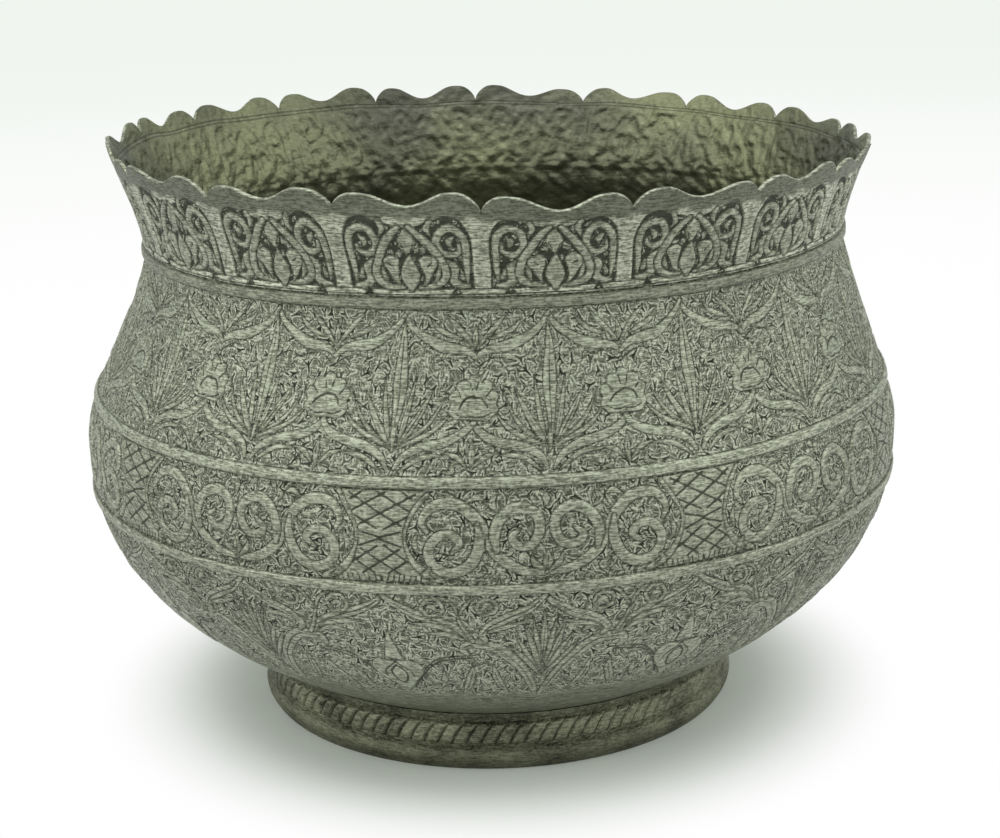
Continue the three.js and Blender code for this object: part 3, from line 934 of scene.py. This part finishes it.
stations = add(around, "GeometryNodePoints", {"Count": given["Copies"]})
part_turn = math_node(around, "DIVIDE", 2 * math.pi, given["Copies"])
number = add(around, "GeometryNodeInputIndex").outputs[0]
turn = add(around, "ShaderNodeCombineXYZ", {"Z": times(around, number, part_turn)})
copies = add(around, "GeometryNodeInstanceOnPoints", {
    "Points": stations.outputs[0],
    "Instance": given["Geometry"],
    "Rotation": turn.outputs[0],
})
real = add(around, "GeometryNodeRealizeInstances", {"Geometry": copies.outputs[0]})
welded = add(around, "GeometryNodeMergeByDistance", {"Geometry": real.outputs[0], "Distance": 0.01 * MM})
print("the tree's inputs:", list(SOCKETS))

# %% [markdown]
# The lobes were stepped off by eye. Each row of DRIFTS is a stretch of the rim where they run ahead of their
# even places or behind them: its middle and its reach in degrees, and how far they stray there.

# %% Drift of the lobes
DRIFTS = ((155, 90, 3.8), (283, 45, -3.0))

even_place = add(around, "GeometryNodeInputPosition").outputs[0]
parts = split_up(around, even_place)
backwards = times(around, parts["Y"], -1.0)
degrees_round = times(around, math_node(around, "ARCTAN2", parts["X"], backwards), 180 / math.pi)
degrees_round = math_node(around, "FLOORED_MODULO", degrees_round, 360.0)
drift = 0.0
for middle, reach, most in DRIFTS:
    away = unsigned(around, math_node(around, "SUBTRACT", degrees_round, float(middle)))
    away = math_node(around, "MINIMUM", math_node(around, "DIVIDE", away, float(reach)), 1.0)
    hump = math_node(around, "COSINE", times(around, away, math.pi / 2))
    hump = times(around, hump, hump)
    drift = times_plus(around, hump, math.radians(most), drift)
drift = times(around, drift, ramp(around, parts["Z"], 0.150, 0.1665))
drifted = add(around, "ShaderNodeVectorRotate", {
    "Vector": even_place, "Angle": drift,
}, rotation_type="Z_AXIS").outputs[0]
set_out = add(around, "GeometryNodeSetPosition", {"Geometry": welded.outputs[0], "Position": drifted})
print("stretches that drift:", len(DRIFTS))

# %% [markdown]
# Next the whole bowl is bent. It leans above the belly, its belts and its rim tilt, and smooth noise of three
# sizes adds the slow unevenness of the wall, small dents, and the waver of a rim that was cut by hand.

# %% Lean, tilt and waver
SHOULDER_LEAN = 0.0023
RIM_LEAN = -0.0010
BELT_TILT = 0.005
RIM_TILT = -0.026
RIM_WAVER = 0.004

place = add(around, "GeometryNodeInputPosition").outputs[0]
parts = split_up(around, place)


def wander(scale, strength):
    """A smooth random shift of each point, the same for the same place."""
    cloudy = add(around, "ShaderNodeTexNoise", {"Vector": place, "Scale": scale, "Detail": 0.0})
    centred = vector_node(around, "SUBTRACT", cloudy.outputs["Color"], (0.5, 0.5, 0.5))
    return vector_node(around, "SCALE", centred, strength)


belly_lean = ramp(around, parts["Z"], 0.108, 0.158, 0.0, SHOULDER_LEAN)
rim_lean = ramp(around, parts["Z"], 0.17, 0.195, 0.0, RIM_LEAN)
lean = math_node(around, "ADD", belly_lean, rim_lean)
belt_tilt = times(around, parts["X"], ramp(around, parts["Z"], 0.02, 0.08, 0.0, BELT_TILT))
rim_tilt = times(around, parts["X"], ramp(around, parts["Z"], 0.165, 0.197, 0.0, RIM_TILT))
tilt = math_node(around, "ADD", belt_tilt, rim_tilt)
shift = add(around, "ShaderNodeCombineXYZ", {"X": lean, "Z": tilt}).outputs[0]
above_foot = ramp(around, parts["Z"], 0.0, 0.02)
slow = times(around, given["Unevenness"], above_foot)
quick_dents = times(around, given["Dents"], above_foot)
hand_cut = ramp(around, parts["Z"], 0.186, 0.192, 0.0, RIM_WAVER)
for extra in (wander(12.5, slow), wander(62.0, quick_dents), wander(34.0, hand_cut)):
    shift = vector_node(around, "ADD", shift, extra)
bent = add(around, "GeometryNodeSetPosition", {"Geometry": set_out.outputs[0], "Offset": shift})
print("nodes so far:", len(around.nodes))

# %% [markdown]
# Last, the surface is shaded smooth, except across the sharp corners of the sheet, and gets its finish.

# %% Shading and finish
SHARP_CORNER = math.radians(62)

soft = add(around, "GeometryNodeSetShadeSmooth", {"Geometry": bent.outputs[0], "Shade Smooth": True})
bend = add(around, "GeometryNodeInputMeshEdgeAngle").outputs["Unsigned Angle"]
corner = math_node(around, "GREATER_THAN", bend, SHARP_CORNER)
crisp = add(
    around, "GeometryNodeSetShadeSmooth",
    {"Geometry": soft.outputs[0], "Selection": corner, "Shade Smooth": False},
    domain="EDGE",
)
dressed = add(around, "GeometryNodeSetMaterial", {"Geometry": crisp.outputs[0], "Material": given["Finish"]})
add(around, "NodeGroupOutput", {"Geometry": dressed.outputs[0]})
print("the tree has", len(around.nodes), "nodes and the inputs", sorted(SOCKETS))

# %% [markdown]
# ## From a wedge to a finished piece
# The tree runs as a modifier. Its result becomes a plain mesh, the modifier goes, the piece is hung under the
# root body, and the measured solid that it stands for is hidden.

# %% Finished ring
def go_round(name, wedge, copies, finish, node, unevenness=0.0011, dents=0.00022):
    wedge_object = bpy.data.objects.new(name + "_wedge", wedge)
    bpy.context.scene.collection.objects.link(wedge_object)
    modifier = wedge_object.modifiers.new("round", "NODES")
    modifier.node_group = around
    modifier[SOCKETS["Copies"]] = copies
    modifier[SOCKETS["Unevenness"]] = unevenness
    modifier[SOCKETS["Dents"]] = dents
    modifier[SOCKETS["Finish"]] = finish
    evaluated = wedge_object.evaluated_get(bpy.context.evaluated_depsgraph_get())
    mesh = bpy.data.meshes.new_from_object(evaluated)
    mesh.name = name
    if not mesh.materials:
        mesh.materials.append(finish)
    bpy.data.objects.remove(wedge_object)
    piece = bpy.data.objects.new(name, mesh)
    bpy.context.scene.collection.objects.link(piece)
    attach(piece, "root")
    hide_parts(node)
    mesh.calc_loop_triangles()
    print(name, "has", len(mesh.loop_triangles), "triangles")
    return piece

# %% [markdown]
# ## Finishes
# The tin has worn and dulled: grey with an olive cast, dark where dirt sits in the chasing, and paler with
# fine scratches where cloths and hands have rubbed the raised parts. Four effects serve every finish, so each
# is a node group. The first turns the distances that the mesh carries into dirt: on sunk ground, in cuts and
# along outlines, with ragged edges, and less of it wherever the metal has been rubbed clean.

# %% Dirt in the chasing
dirt_group, given, made = new_group("dirt in the chasing", {
    "Depth": (FLOAT, 0.85),
}, {"Ground": FLOAT, "Cuts": FLOAT, "Crest": FLOAT, "Hollow": FLOAT})
tree = dirt_group
rubbed_node = carried(tree, "rubbed")
ragged = noise(tree, object_place(tree), 900.0, 2.0)
rough_edge = times_plus(tree, ragged, 0.24, -0.12)
raised_value = math_node(tree, "ADD", carried(tree, "raised"), rough_edge)
line_value = math_node(tree, "ADD", carried(tree, "line"), rough_edge)
dirty = math_node(tree, "SUBTRACT", 1.0, rubbed_node)
hollow = ramp(tree, raised_value, 0.02, -0.16)
ground = times(tree, hollow, dirty)
cuts = ramp(tree, line_value, 0.34, 0.1)
outline = unsigned(tree, math_node(tree, "ADD", raised_value, 0.1))
outline = ramp(tree, outline, 0.26, 0.1)
broken = times_plus(tree, ramp(tree, ragged, 0.42, 0.58), 0.6, 0.4)
outline = times(tree, outline, broken)
outline = times(tree, outline, ramp(tree, rubbed_node, 1.0, 0.85))
cuts = larger(tree, cuts, outline)
edges = ramp(tree, raised_value, 0.1, 0.4)
middles = times_plus(tree, ramp(tree, raised_value, 0.6, 1.4), -0.35, 1.0)
crest = times(tree, edges, middles)
facets = times(tree, ramp(tree, raised_value, -0.7, -0.4), hollow)
crest = times_plus(tree, facets, 0.7, crest)
crest = times(tree, crest, rubbed_node)
bare = times(tree, hollow, ramp(tree, rubbed_node, 0.93, 1.0))
crest = times_plus(tree, bare, 0.1, crest)
ground = larger(tree, ground, times(tree, bare, 0.2))
untouched = times(tree, ramp(tree, rubbed_node, 0.35, 0.05), 0.5)
ground = larger(tree, ground, untouched)
strokable = times(tree, hollow, ramp(tree, rubbed_node, 0.95, 0.8))
strokable = times(tree, strokable, ramp(tree, rubbed_node, 0.05, 0.3))
strokable = times(tree, strokable, ramp(tree, rubbed_node, 0.8, 0.35, 0.85, 1.3))
tree.links.new(times(tree, ground, given["Depth"]), made["Ground"])
tree.links.new(times(tree, cuts, given["Depth"]), made["Cuts"])
tree.links.new(crest, made["Crest"])
tree.links.new(strokable, made["Hollow"])
print(dirt_group.name, "has", len(dirt_group.nodes), "nodes")

# %% [markdown]
# Between the leaves the ground is full of short strokes of a graver, some plain and some forked. A Voronoi
# pattern on the unrolled wall sets one mark in each of its cells, and its random colour turns and opens it.

# %% Graver strokes
PRONG_LENGTH = 0.34

stroke_group, given, made = new_group("graver strokes", {
    "Marks each metre": (FLOAT, 240.0), "Thickness": (FLOAT, 0.06), "Turn": (FLOAT, 0.0),
}, {"Strokes": FLOAT, "Flecks": FLOAT})
tree = stroke_group
parts = split_up(tree, object_place(tree))
backwards = times(tree, parts["Y"], -1.0)
round_bowl = math_node(tree, "ARCTAN2", parts["X"], backwards)
along = times(tree, round_bowl, BELLY_RADIUS * MM)
flat = add(tree, "ShaderNodeCombineXYZ", {"X": along, "Y": parts["Z"]}).outputs[0]
flat = vector_node(tree, "SCALE", flat, given["Marks each metre"])
marks = add(tree, "ShaderNodeTexVoronoi", {
    "Vector": flat, "Scale": 1.0, "Randomness": 0.8,
}, voronoi_dimensions="2D").outputs
gap = vector_node(tree, "SUBTRACT", flat, marks["Position"])
chance = split_up(tree, marks["Color"])
angle = times_plus(tree, chance["X"], 6.28, given["Turn"])
spun = add(tree, "ShaderNodeVectorRotate", {"Vector": gap, "Angle": angle}, rotation_type="Z_AXIS").outputs[0]
forwards, sideways, _ = split_up(tree, spun)
sideways = unsigned(tree, sideways)
spread = times_plus(tree, chance["Y"], 0.7, 0.35)
prong = times(tree, larger(tree, forwards, 0.0), spread)
prong = unsigned(tree, math_node(tree, "SUBTRACT", sideways, prong))
prong_end = unsigned(tree, math_node(tree, "SUBTRACT", forwards, PRONG_LENGTH / 2))
prong_end = math_node(tree, "SUBTRACT", prong_end, PRONG_LENGTH / 2)
prong = larger(tree, prong, prong_end)
stem_length = times_plus(tree, chance["Z"], 0.3, 0.12)
stem_end = unsigned(tree, math_node(tree, "ADD", forwards, 0.12))
stem_end = math_node(tree, "SUBTRACT", stem_end, stem_length)
stem = larger(tree, sideways, stem_end)
away = math_node(tree, "MINIMUM", prong, stem)
taper = times_plus(tree, unsigned(tree, forwards), 0.08, away)
share = math_node(tree, "DIVIDE", taper, given["Thickness"])
tree.links.new(ramp(tree, share, 1.5, 0.7), made["Strokes"])
burr = times(tree, ramp(tree, share, 1.3, 1.9), ramp(tree, share, 4.4, 2.8))
tree.links.new(burr, made["Flecks"])
print(stroke_group.name, "has", len(stroke_group.nodes), "nodes")

# %% [markdown]
# Cloths and hands leave fine scratches that run round the bowl, so this noise is stretched along the wall.
# The last group clouds the colour twice: in wide patches of wear, and in a fine grain of pits.

# %% Scratches and clouding
scratch_group, given, made = new_group("fine scratches", {
    "Along": (FLOAT, 330.0), "Across": (FLOAT, 2600.0),
}, {"Scratches": FLOAT})
tree = scratch_group
stretch = add(tree, "ShaderNodeCombineXYZ", {
    "X": given["Along"], "Y": given["Along"], "Z": given["Across"],
}).outputs[0]
drawn = vector_node(tree, "MULTIPLY", object_place(tree), stretch)
streaks = noise(tree, drawn, 1.0, 3.0)
tree.links.new(ramp(tree, streaks, 0.4, 0.62), made["Scratches"])

cloud_group, given, made = new_group("clouding", {
    "Patch": (FLOAT, 14.0), "Grain": (FLOAT, 950.0),
}, {"Patches": FLOAT, "Grain": FLOAT})
tree = cloud_group
patches = noise(tree, object_place(tree), given["Patch"], 3.0)
grain = noise(tree, object_place(tree), given["Grain"], 4.0)
tree.links.new(ramp(tree, patches, 0.34, 0.66), made["Patches"])
tree.links.new(ramp(tree, grain, 0.3, 0.7), made["Grain"])
print("effects:", [group.name for group in (dirt_group, stroke_group, scratch_group, cloud_group)])

# %% [markdown]
# ## Tin and copper
# A colour is written here as it looks on screen, from 0 to 255, and turned into the linear light that
# shaders work in. The effects above come together in a few steps, each a small function.

# %% Parts of a finish
INNER_LINE = 189.4


def paint(red, green, blue):
    def linear(value):
        share = value / 255
        return share / 12.92 if share < 0.04045 else ((share + 0.055) / 1.055) ** 2.4
    return (linear(red), linear(green), linear(blue), 1)


def effect(tree, group, **values):
    node = tree.nodes.new("ShaderNodeGroup")
    node.node_tree = group
    for socket, value in values.items():
        node.inputs[socket].default_value = value
    return node.outputs


def graver_work(tree, hollow):
    """Coarse and fine strokes, and the bright burrs beside them, on the sunk ground only."""
    coarse = effect(tree, stroke_group)
    fine = effect(tree, stroke_group, **{"Marks each metre": 400.0, "Thickness": 0.07, "Turn": 1.7})
    strokes = larger(tree, coarse["Strokes"], times(tree, fine["Strokes"], 0.75))
    depths = effect(tree, cloud_group, Patch=170.0)["Patches"]
    strokes = times(tree, times(tree, strokes, hollow), times_plus(tree, depths, 0.5, 0.55))
    flecks = larger(tree, coarse["Flecks"], times(tree, fine["Flecks"], 0.7))
    return strokes, times(tree, flecks, hollow)


def lining_colours(tree, colour, colours, dark, patches, specks, within):
    """The paler inner wall, with two lines scribed under the rim and painted shade round the ledge at the
    foot of the neck.
    """
    high = carried(tree, "high")
    from_line = unsigned(tree, math_node(tree, "SUBTRACT", high, INNER_LINE))
    pair = unsigned(tree, math_node(tree, "SUBTRACT", from_line, 0.55))
    drawn = ramp(tree, pair, 0.35, 0.15)
    neck_foot = unsigned(tree, math_node(tree, "SUBTRACT", high, NECK_HEIGHT - 2))
    specks = times(tree, specks, 0.6)
    # Painted shade: round the ledge at the foot of the neck the inner wall is darkened, through the same mask
    # as the specks.
    specks = times_plus(tree, ramp(tree, neck_foot, 9, 3), 0.08, specks)
    lining = blend_colours(tree, patches, *colours)
    lining = blend_colours(tree, specks, lining, dark)
    lining = blend_colours(tree, times(tree, drawn, 0.6), lining, dark)
    return blend_colours(tree, ramp(tree, within, 0.6, 0.95), colour, lining)


def hammered(tree, within, normal):
    """Broad lumps on the inner wall, weaker towards the bottom."""
    lumps = times(tree, noise(tree, object_place(tree), 210.0, 1.5), within)
    lumps = times(tree, lumps, ramp(tree, carried(tree, "high"), 110, 165, 0.3, 1.0))
    sockets = {"Height": lumps, "Distance": 0.0016, "Strength": 1.0, "Normal": normal}
    return add(tree, "ShaderNodeBump", sockets).outputs[0]


print("the lines inside the rim are at", INNER_LINE, "mm")

# %% [markdown]
# One function makes every metal here. It starts from the body colour, adds the paler rubbed metal on crests
# and the specks of tarnish between, and lays the dirt last, because dirt covers everything. Dirt is also
# rougher than metal, and the strokes catch the light, so both go into the roughness and the relief.

# %% Aged metal
def aged_metal(name, body, pale, dark, metallic=0.75, roughness=0.42, patchy=0.12, patch=14.0, lining=None):
    finish = bpy.data.materials.new(name)
    finish.use_nodes = True
    tree = finish.node_tree
    shader = tree.nodes["Principled BSDF"]
    shader.inputs["Metallic"].default_value = metallic
    dirt = effect(tree, dirt_group)
    strokes, flecks = graver_work(tree, dirt["Hollow"])
    scratch = effect(tree, scratch_group)["Scratches"]
    cloud = effect(tree, cloud_group, Patch=patch)
    rubbed = times_plus(tree, scratch, 0.6, 0.1)
    rubbed = times_plus(tree, cloud["Grain"], 0.45, rubbed)
    worn = times(tree, rubbed, times_plus(tree, dirt["Crest"], 1.0, 0.3))
    worn = times_plus(tree, flecks, 0.6, worn)
    colour = blend_colours(tree, worn, body, pale)
    specks = times(tree, ramp(tree, cloud["Grain"], 0.55, 0.1), 0.22)
    specks = times_plus(tree, ramp(tree, scratch, 0.45, 0.0), 0.3, specks)
    specks = times_plus(tree, cloud["Patches"], patchy, specks)
    colour = blend_colours(tree, specks, colour, dark)
    clear = times_plus(tree, flecks, -0.6, 1.0)
    grime = times(tree, dirt["Ground"], clear)
    grime = larger(tree, grime, dirt["Cuts"])
    grime = larger(tree, grime, times(tree, strokes, 0.92))
    colour = blend_colours(tree, grime, colour, dark)
    if lining:
        within = carried(tree, "inside")
        colour = lining_colours(tree, colour, lining, dark, cloud["Patches"], specks, within)
    tree.links.new(colour, shader.inputs["Base Color"])
    rough = times_plus(tree, grime, 0.2, roughness)
    rough = times_plus(tree, cloud["Grain"], 0.12, rough)
    tree.links.new(rough, shader.inputs["Roughness"])
    relief = times_plus(tree, scratch, 0.3, cloud["Grain"])
    relief = times_plus(tree, strokes, -1.2, relief)
    relief = times_plus(tree, flecks, 0.9, relief)
    if lining:
        relief = times(tree, relief, times_plus(tree, within, -0.6, 1.0))
    bump = add(tree, "ShaderNodeBump", {"Height": relief, "Distance": 0.00015, "Strength": 1.0}).outputs[0]
    if lining:
        bump = hammered(tree, within, bump)
    tree.links.new(bump, shader.inputs["Normal"])
    return finish


tin = aged_metal(
    "worn_tin", paint(119, 123, 105), paint(201, 205, 186), paint(42, 44, 34),
    lining=(paint(128, 131, 102), paint(88, 89, 78)),
)
copper = aged_metal(
    "browned_copper", paint(128, 129, 106), paint(160, 163, 140), paint(38, 38, 29),
    roughness=0.45, patchy=0.45, patch=60.0,
)
solder = aged_metal("dull_solder", paint(120, 120, 112), paint(150, 150, 142), paint(70, 70, 64))
print("finishes:", tin.name, copper.name, solder.name)

# %% [markdown]
# ## The bands
# Each band of the wall is its own ring, and the tall ones are split into an upper and a lower ring, so that
# each can carry a fine mesh. The plain lip has no ornament and closes the sheet with a rounded, lobed edge.

# %% Make the bands
COPIES = round(360 / SPAN)
NECK_SPLIT = 176.5
SHOULDER_SPLIT = 139.5
SCROLL_SPLIT = 99.5
LOWER_SPLIT = 59.0


def lobed_edge(degrees):
    return RIM_HEIGHT - edge_drop((degrees % BRACKET) / BRACKET)


def make_band(name, tablet, low, high, rows, inner_rows, rounded=False, blur=11):
    tops = high if callable(high) else level_edge(high)
    wedge = sheet_wedge(name, tablet, level_edge(low), tops, rows, inner_rows, rounded, blur)
    return go_round(name, wedge, COPIES, tin, "bowl_body")


lip = Tablet(123, LIP_FOOT - 1, RIM_HEIGHT + 1, (0,), surface=FAR, rubbed=0.1)
lip.finish(depth=0)
make_band("rim_lip", lip, LIP_FOOT, lobed_edge, 22, 10, rounded=True)
make_band("neck_panels_top", neck, NECK_SPLIT, LIP_FOOT, 34, 26, blur=5)
make_band("neck_panels_bottom", neck, NECK_BELT, NECK_SPLIT, 34, 26, blur=5)
make_band("shoulder_top", shoulder, SHOULDER_SPLIT, NECK_BELT, 46, 20)
make_band("shoulder_bottom", shoulder, SHOULDER_BELT, SHOULDER_SPLIT, 49, 12)
make_band("scroll_band_top", scrolls, SCROLL_SPLIT, SHOULDER_BELT, 34, 8)
make_band("scroll_band_bottom", scrolls, BELLY_BELT, SCROLL_SPLIT, 34, 8)
make_band("lower_band_top", lower, LOWER_SPLIT, BELLY_BELT, 49, 12)
make_band("lower_band_bottom", lower, PLAIN_HEIGHT, LOWER_SPLIT, 50, 10)

# %% [markdown]
# ## Bottom
# Below the ornament the wall is plain down to the foot, then turns in to a flat bottom. Outside and inside
# are closed in the middle of the bowl by a small fan of faces.

# %% Bottom of the bowl
def bottom_wedge():
    degrees = np.linspace(0, SPAN, COARSE + 1)
    outer = [(wall_radius(h), h) for h in np.linspace(PLAIN_HEIGHT, SEAT_HEIGHT, 16)]
    outer += [tuple(p) for p in underside_line[:-1][::-6]]
    outer += [(r, BOTTOM_HEIGHT) for r in np.linspace(underside_line[0][0], 0, 8)[1:]]
    line = np.array(outer)
    slope = np.gradient(line, axis=0)
    slope /= np.hypot(slope[:, 0], slope[:, 1])[:, None]
    inner = line + np.stack([slope[:, 1], -slope[:, 0]], axis=1) * WALL
    print("inner bottom runs from", inner[0].round(1), "to", inner[-1].round(1))
    rows = [on_wall(degrees, r, z) for r, z in line] + [on_wall(degrees, r, z) for r, z in inner[::-1]]
    index = number_rows(rows)
    faces = strip(index[0], index[-1])
    for upper, below in zip(index, index[1:]):
        if below is not index[len(line)]:
            faces += strip(below, upper)
    points = np.concatenate(rows)
    inside = np.repeat([0.0] * len(line) + [1.0] * len(inner), len(degrees))
    plain = np.full(len(points), FAR)
    scratched = (inside < 0.5) & (points[:, 2] > 29)
    clean = np.where(scratched, 1.0, 0.2)
    raised = np.where(scratched, -2.0, 2.0)
    return new_mesh(
        "bowl_bottom", points, faces, raised=raised, line=plain, rubbed=clean, inside=inside, high=plain
    )


go_round("bowl_bottom", bottom_wedge(), COPIES, tin, "bowl_body")

# %% [markdown]
# ## Foot ring
# The foot is a turned ring of bare copper: a flange that spreads to the table, a rope moulding, and a collar
# that the bowl sits on. The rope is chiselled: flat strands with thin S-shaped gaps that lean to the right.
# One strand is a wedge, and the same tree takes it round 108 times.

# %% Foot ring
PITCH = 360 / STRANDS
ROPE_TOP = FLANGE_HEIGHT + ROPE_HEIGHT
BORE_RADIUS = COLLAR_RADIUS - FOOT_WALL
flange_line = bezier([
    (SOLE_RADIUS, 0), (SOLE_RADIUS + 1.4, 1.2), (FLANGE_RADIUS + 0.7, 4.9), (FLANGE_RADIUS - 0.9, 7.2),
    (GROOVE_RADIUS, FLANGE_HEIGHT),
], 13)


def strand(degrees, climb):
    """How far a place on the rope lies from the gap between two strands, in millimetres."""
    gap = PITCH * (0.62 * climb + 0.38 * climb**3)
    away = np.abs((degrees - gap + PITCH / 2) % PITCH - PITCH / 2)
    return away * math.radians(ROPE_RADIUS) * 0.8


def foot_wedge():
    columns = 16
    degrees = np.linspace(0, PITCH, columns + 1)
    layers, marks = [], []
    for radius, height in flange_line[:-1]:
        layers.append(on_wall(degrees, radius, height))
        near_groove = max(FLANGE_HEIGHT - height, 0.4)
        marks.append(np.full((columns + 1, 3), (FAR, near_groove, 0.1 + 0.015 * height)))
    rope_root = GROOVE_RADIUS + 0.9
    for climb in np.linspace(0, 1, 19):
        away = strand(degrees, climb)
        bead = (1 - abs(2 * climb - 1) ** 5) ** 0.5
        cleft = 0.9 * (1 - smooth(0, 0.8, away))
        radius = rope_root + (ROPE_RADIUS - rope_root) * bead - cleft * bead
        layers.append(on_wall(degrees, radius, FLANGE_HEIGHT + climb * ROPE_HEIGHT))
        edge = np.full(columns + 1, ROPE_HEIGHT * min(climb, 1 - climb))
        from_gap = np.minimum(away + 0.05, edge + 0.4)
        marks.append(np.stack([0 * edge + FAR, from_gap, 0 * edge + 0.5], axis=1))
    # Painted shade: the collar is darkened, with a cut value of 0.22 and little rubbing, as the shadow in the
    # recess between the bowl and the rope.
    for radius, height in ((COLLAR_RADIUS, ROPE_TOP + 0.9), (COLLAR_RADIUS, FOOT_HEIGHT)):
        layers.append(on_wall(degrees, radius, height))
        marks.append(np.full((columns + 1, 3), (FAR, 0.22, 0.2)))
    seat_at_bore = underside(BORE_RADIUS) - SEAT_GAP
    for radius, height in ((BORE_RADIUS, seat_at_bore), (BORE_RADIUS, 8.0), (BORE_RADIUS, 0.0)):
        layers.append(on_wall(degrees[::8], radius, height))
        marks.append(np.full((3, 3), (FAR, FAR, 0.1)))
    index = number_rows(layers)
    faces = fan(index[-4], index[-3]) + join_rows(index[-3:])
    faces += join_rows(index[:-3])
    faces += [face[::-1] for face in fan(index[0], index[-1])]
    marks = np.concatenate(marks)
    labels = ("raised", "line", "rubbed")
    return new_mesh("foot_ring", np.concatenate(layers), faces, **dict(zip(labels, marks.T)))


go_round("rope_foot_ring", foot_wedge(), STRANDS, copper, "foot_ring")

# %% [markdown]
# ## Solder
# A run of soft solder holds the ring from inside. It froze as it flowed, so its surface is lumpy.

# %% Solder run
SOLDER_WEDGES = 24


def solder_wedge():
    degrees = np.linspace(0, 360 / SOLDER_WEDGES, 31)
    beat = 2 * np.pi * np.arange(31) / 30
    outer = BORE_RADIUS - SEAT_GAP
    corner_low = underside(outer) - SEAT_GAP
    inner_top = underside(outer - SOLDER_LEG) - SEAT_GAP
    rows = [on_wall(degrees, outer, corner_low)]
    for share in np.linspace(0, 1, 7):
        lump = 0.16 * np.sin(beat + 5 * share) + 0.1 * np.sin(3 * beat + 2 * share)
        swell = (0.55 * np.sin(np.pi * share) + lump * np.sin(np.pi * share)) * 0.7
        radius = outer - SOLDER_LEG * share + swell
        height = corner_low - SOLDER_LEG + (inner_top - corner_low + SOLDER_LEG) * share
        rows.append(on_wall(degrees, radius, height + swell))
    index = number_rows(rows)
    faces = join_rows(index + index[:1])
    points = np.concatenate(rows)
    plain = np.full(len(points), FAR)
    return new_mesh("foot_solder", points, faces, raised=plain, line=plain, rubbed=plain * 0 + 0.3)


go_round("solder_run", solder_wedge(), SOLDER_WEDGES, solder, "foot_solder")

# %% [markdown]
# ## Floor and light
# A pale sheet lies under the bowl. Near the bowl it takes the shadow. Further off, rays that look for the
# background see it glow, with painted light: white near the bowl and paler further off, so that it fades into
# the white behind it.

# %% Floor
PALE = paint(240, 245, 239)
FLOOR_SIZE = 12.0


def background_rays(tree):
    """The rays that see the background itself: straight from the camera, mirrored or let through."""
    seen = add(tree, "ShaderNodeLightPath").outputs
    mirrored = larger(tree, seen["Is Camera Ray"], seen["Is Glossy Ray"])
    return larger(tree, mirrored, seen["Is Transmission Ray"])


floor_mesh = bpy.data.meshes.new("floor")
half = FLOOR_SIZE / 2
floor_corners = [(-half, -half, 0), (half, -half, 0), (half, half, 0), (-half, half, 0)]
floor_mesh.from_pydata(floor_corners, [], [(0, 1, 2, 3)])
floor = bpy.data.objects.new("floor", floor_mesh)
bpy.context.scene.collection.objects.link(floor)
sheet = bpy.data.materials.new("pale_sheet")
sheet.use_nodes = True
tree = sheet.node_tree
tree.nodes.remove(tree.nodes["Principled BSDF"])
matt = add(tree, "ShaderNodeBsdfDiffuse", {"Color": PALE}).outputs[0]
distance = add(tree, "ShaderNodeVectorMath", {0: object_place(tree)}, operation="LENGTH")
far = ramp(tree, distance.outputs["Value"], 0.086, 0.148)
# Painted light: the glow is white near the bowl and fades to the pale sheet colour further off.
glow_with_painted_falloff = blend_colours(tree, ramp(tree, distance.outputs["Value"], 0.5, 2.2), (1, 1, 1, 1), PALE)
glow = add(tree, "ShaderNodeEmission", {"Color": glow_with_painted_falloff, "Strength": 1.0}).outputs[0]
glowing = times(tree, far, background_rays(tree))
mixed = add(tree, "ShaderNodeMixShader", {0: glowing, 1: matt, 2: glow})
tree.links.new(mixed.outputs[0], tree.nodes["Material Output"].inputs["Surface"])
floor_mesh.materials.append(sheet)
print("floor:", FLOOR_SIZE, "m wide")

# %% [markdown]
# The light is one large soft box overhead and two weaker ones at the sides. The world is a dimmer white than
# the background that the camera sees, so that the hollows of the relief stay dark.

# %% World and lamps
world = bpy.data.worlds.new("studio")
world.use_nodes = True
bpy.context.scene.world = world
backdrop = world.node_tree.nodes["Background"]
backdrop.inputs["Color"].default_value = PALE
backdrop.inputs["Strength"].default_value = 0.75
world_out = world.node_tree.nodes["World Output"]
shown = add(world.node_tree, "ShaderNodeBackground", {"Color": PALE, "Strength": 1.0})
mixed = add(world.node_tree, "ShaderNodeMixShader", {
    0: background_rays(world.node_tree), 1: backdrop.outputs[0], 2: shown.outputs[0],
})
world.node_tree.links.new(mixed.outputs[0], world_out.inputs["Surface"])


def softbox(name, place, size, power):
    lamp = bpy.data.lights.new(name, "AREA")
    lamp.shape = "DISK"
    lamp.size = size
    lamp.energy = power
    holder = bpy.data.objects.new(name, lamp)
    bpy.context.scene.collection.objects.link(holder)
    holder.location = place
    aim = Vector((0, 0, 0.1)) - Vector(place)
    holder.rotation_euler = aim.to_track_quat("-Z", "Y").to_euler()


softbox("overhead", (-0.1, -0.15, 1.3), 1.2, 9.0)
softbox("left_side", (-1.2, -0.5, 0.6), 0.8, 4.6)
softbox("right_side", (1.2, -0.3, 0.7), 0.8, 3.8)
bpy.context.scene.view_settings.view_transform = "Standard"

# %% [markdown]
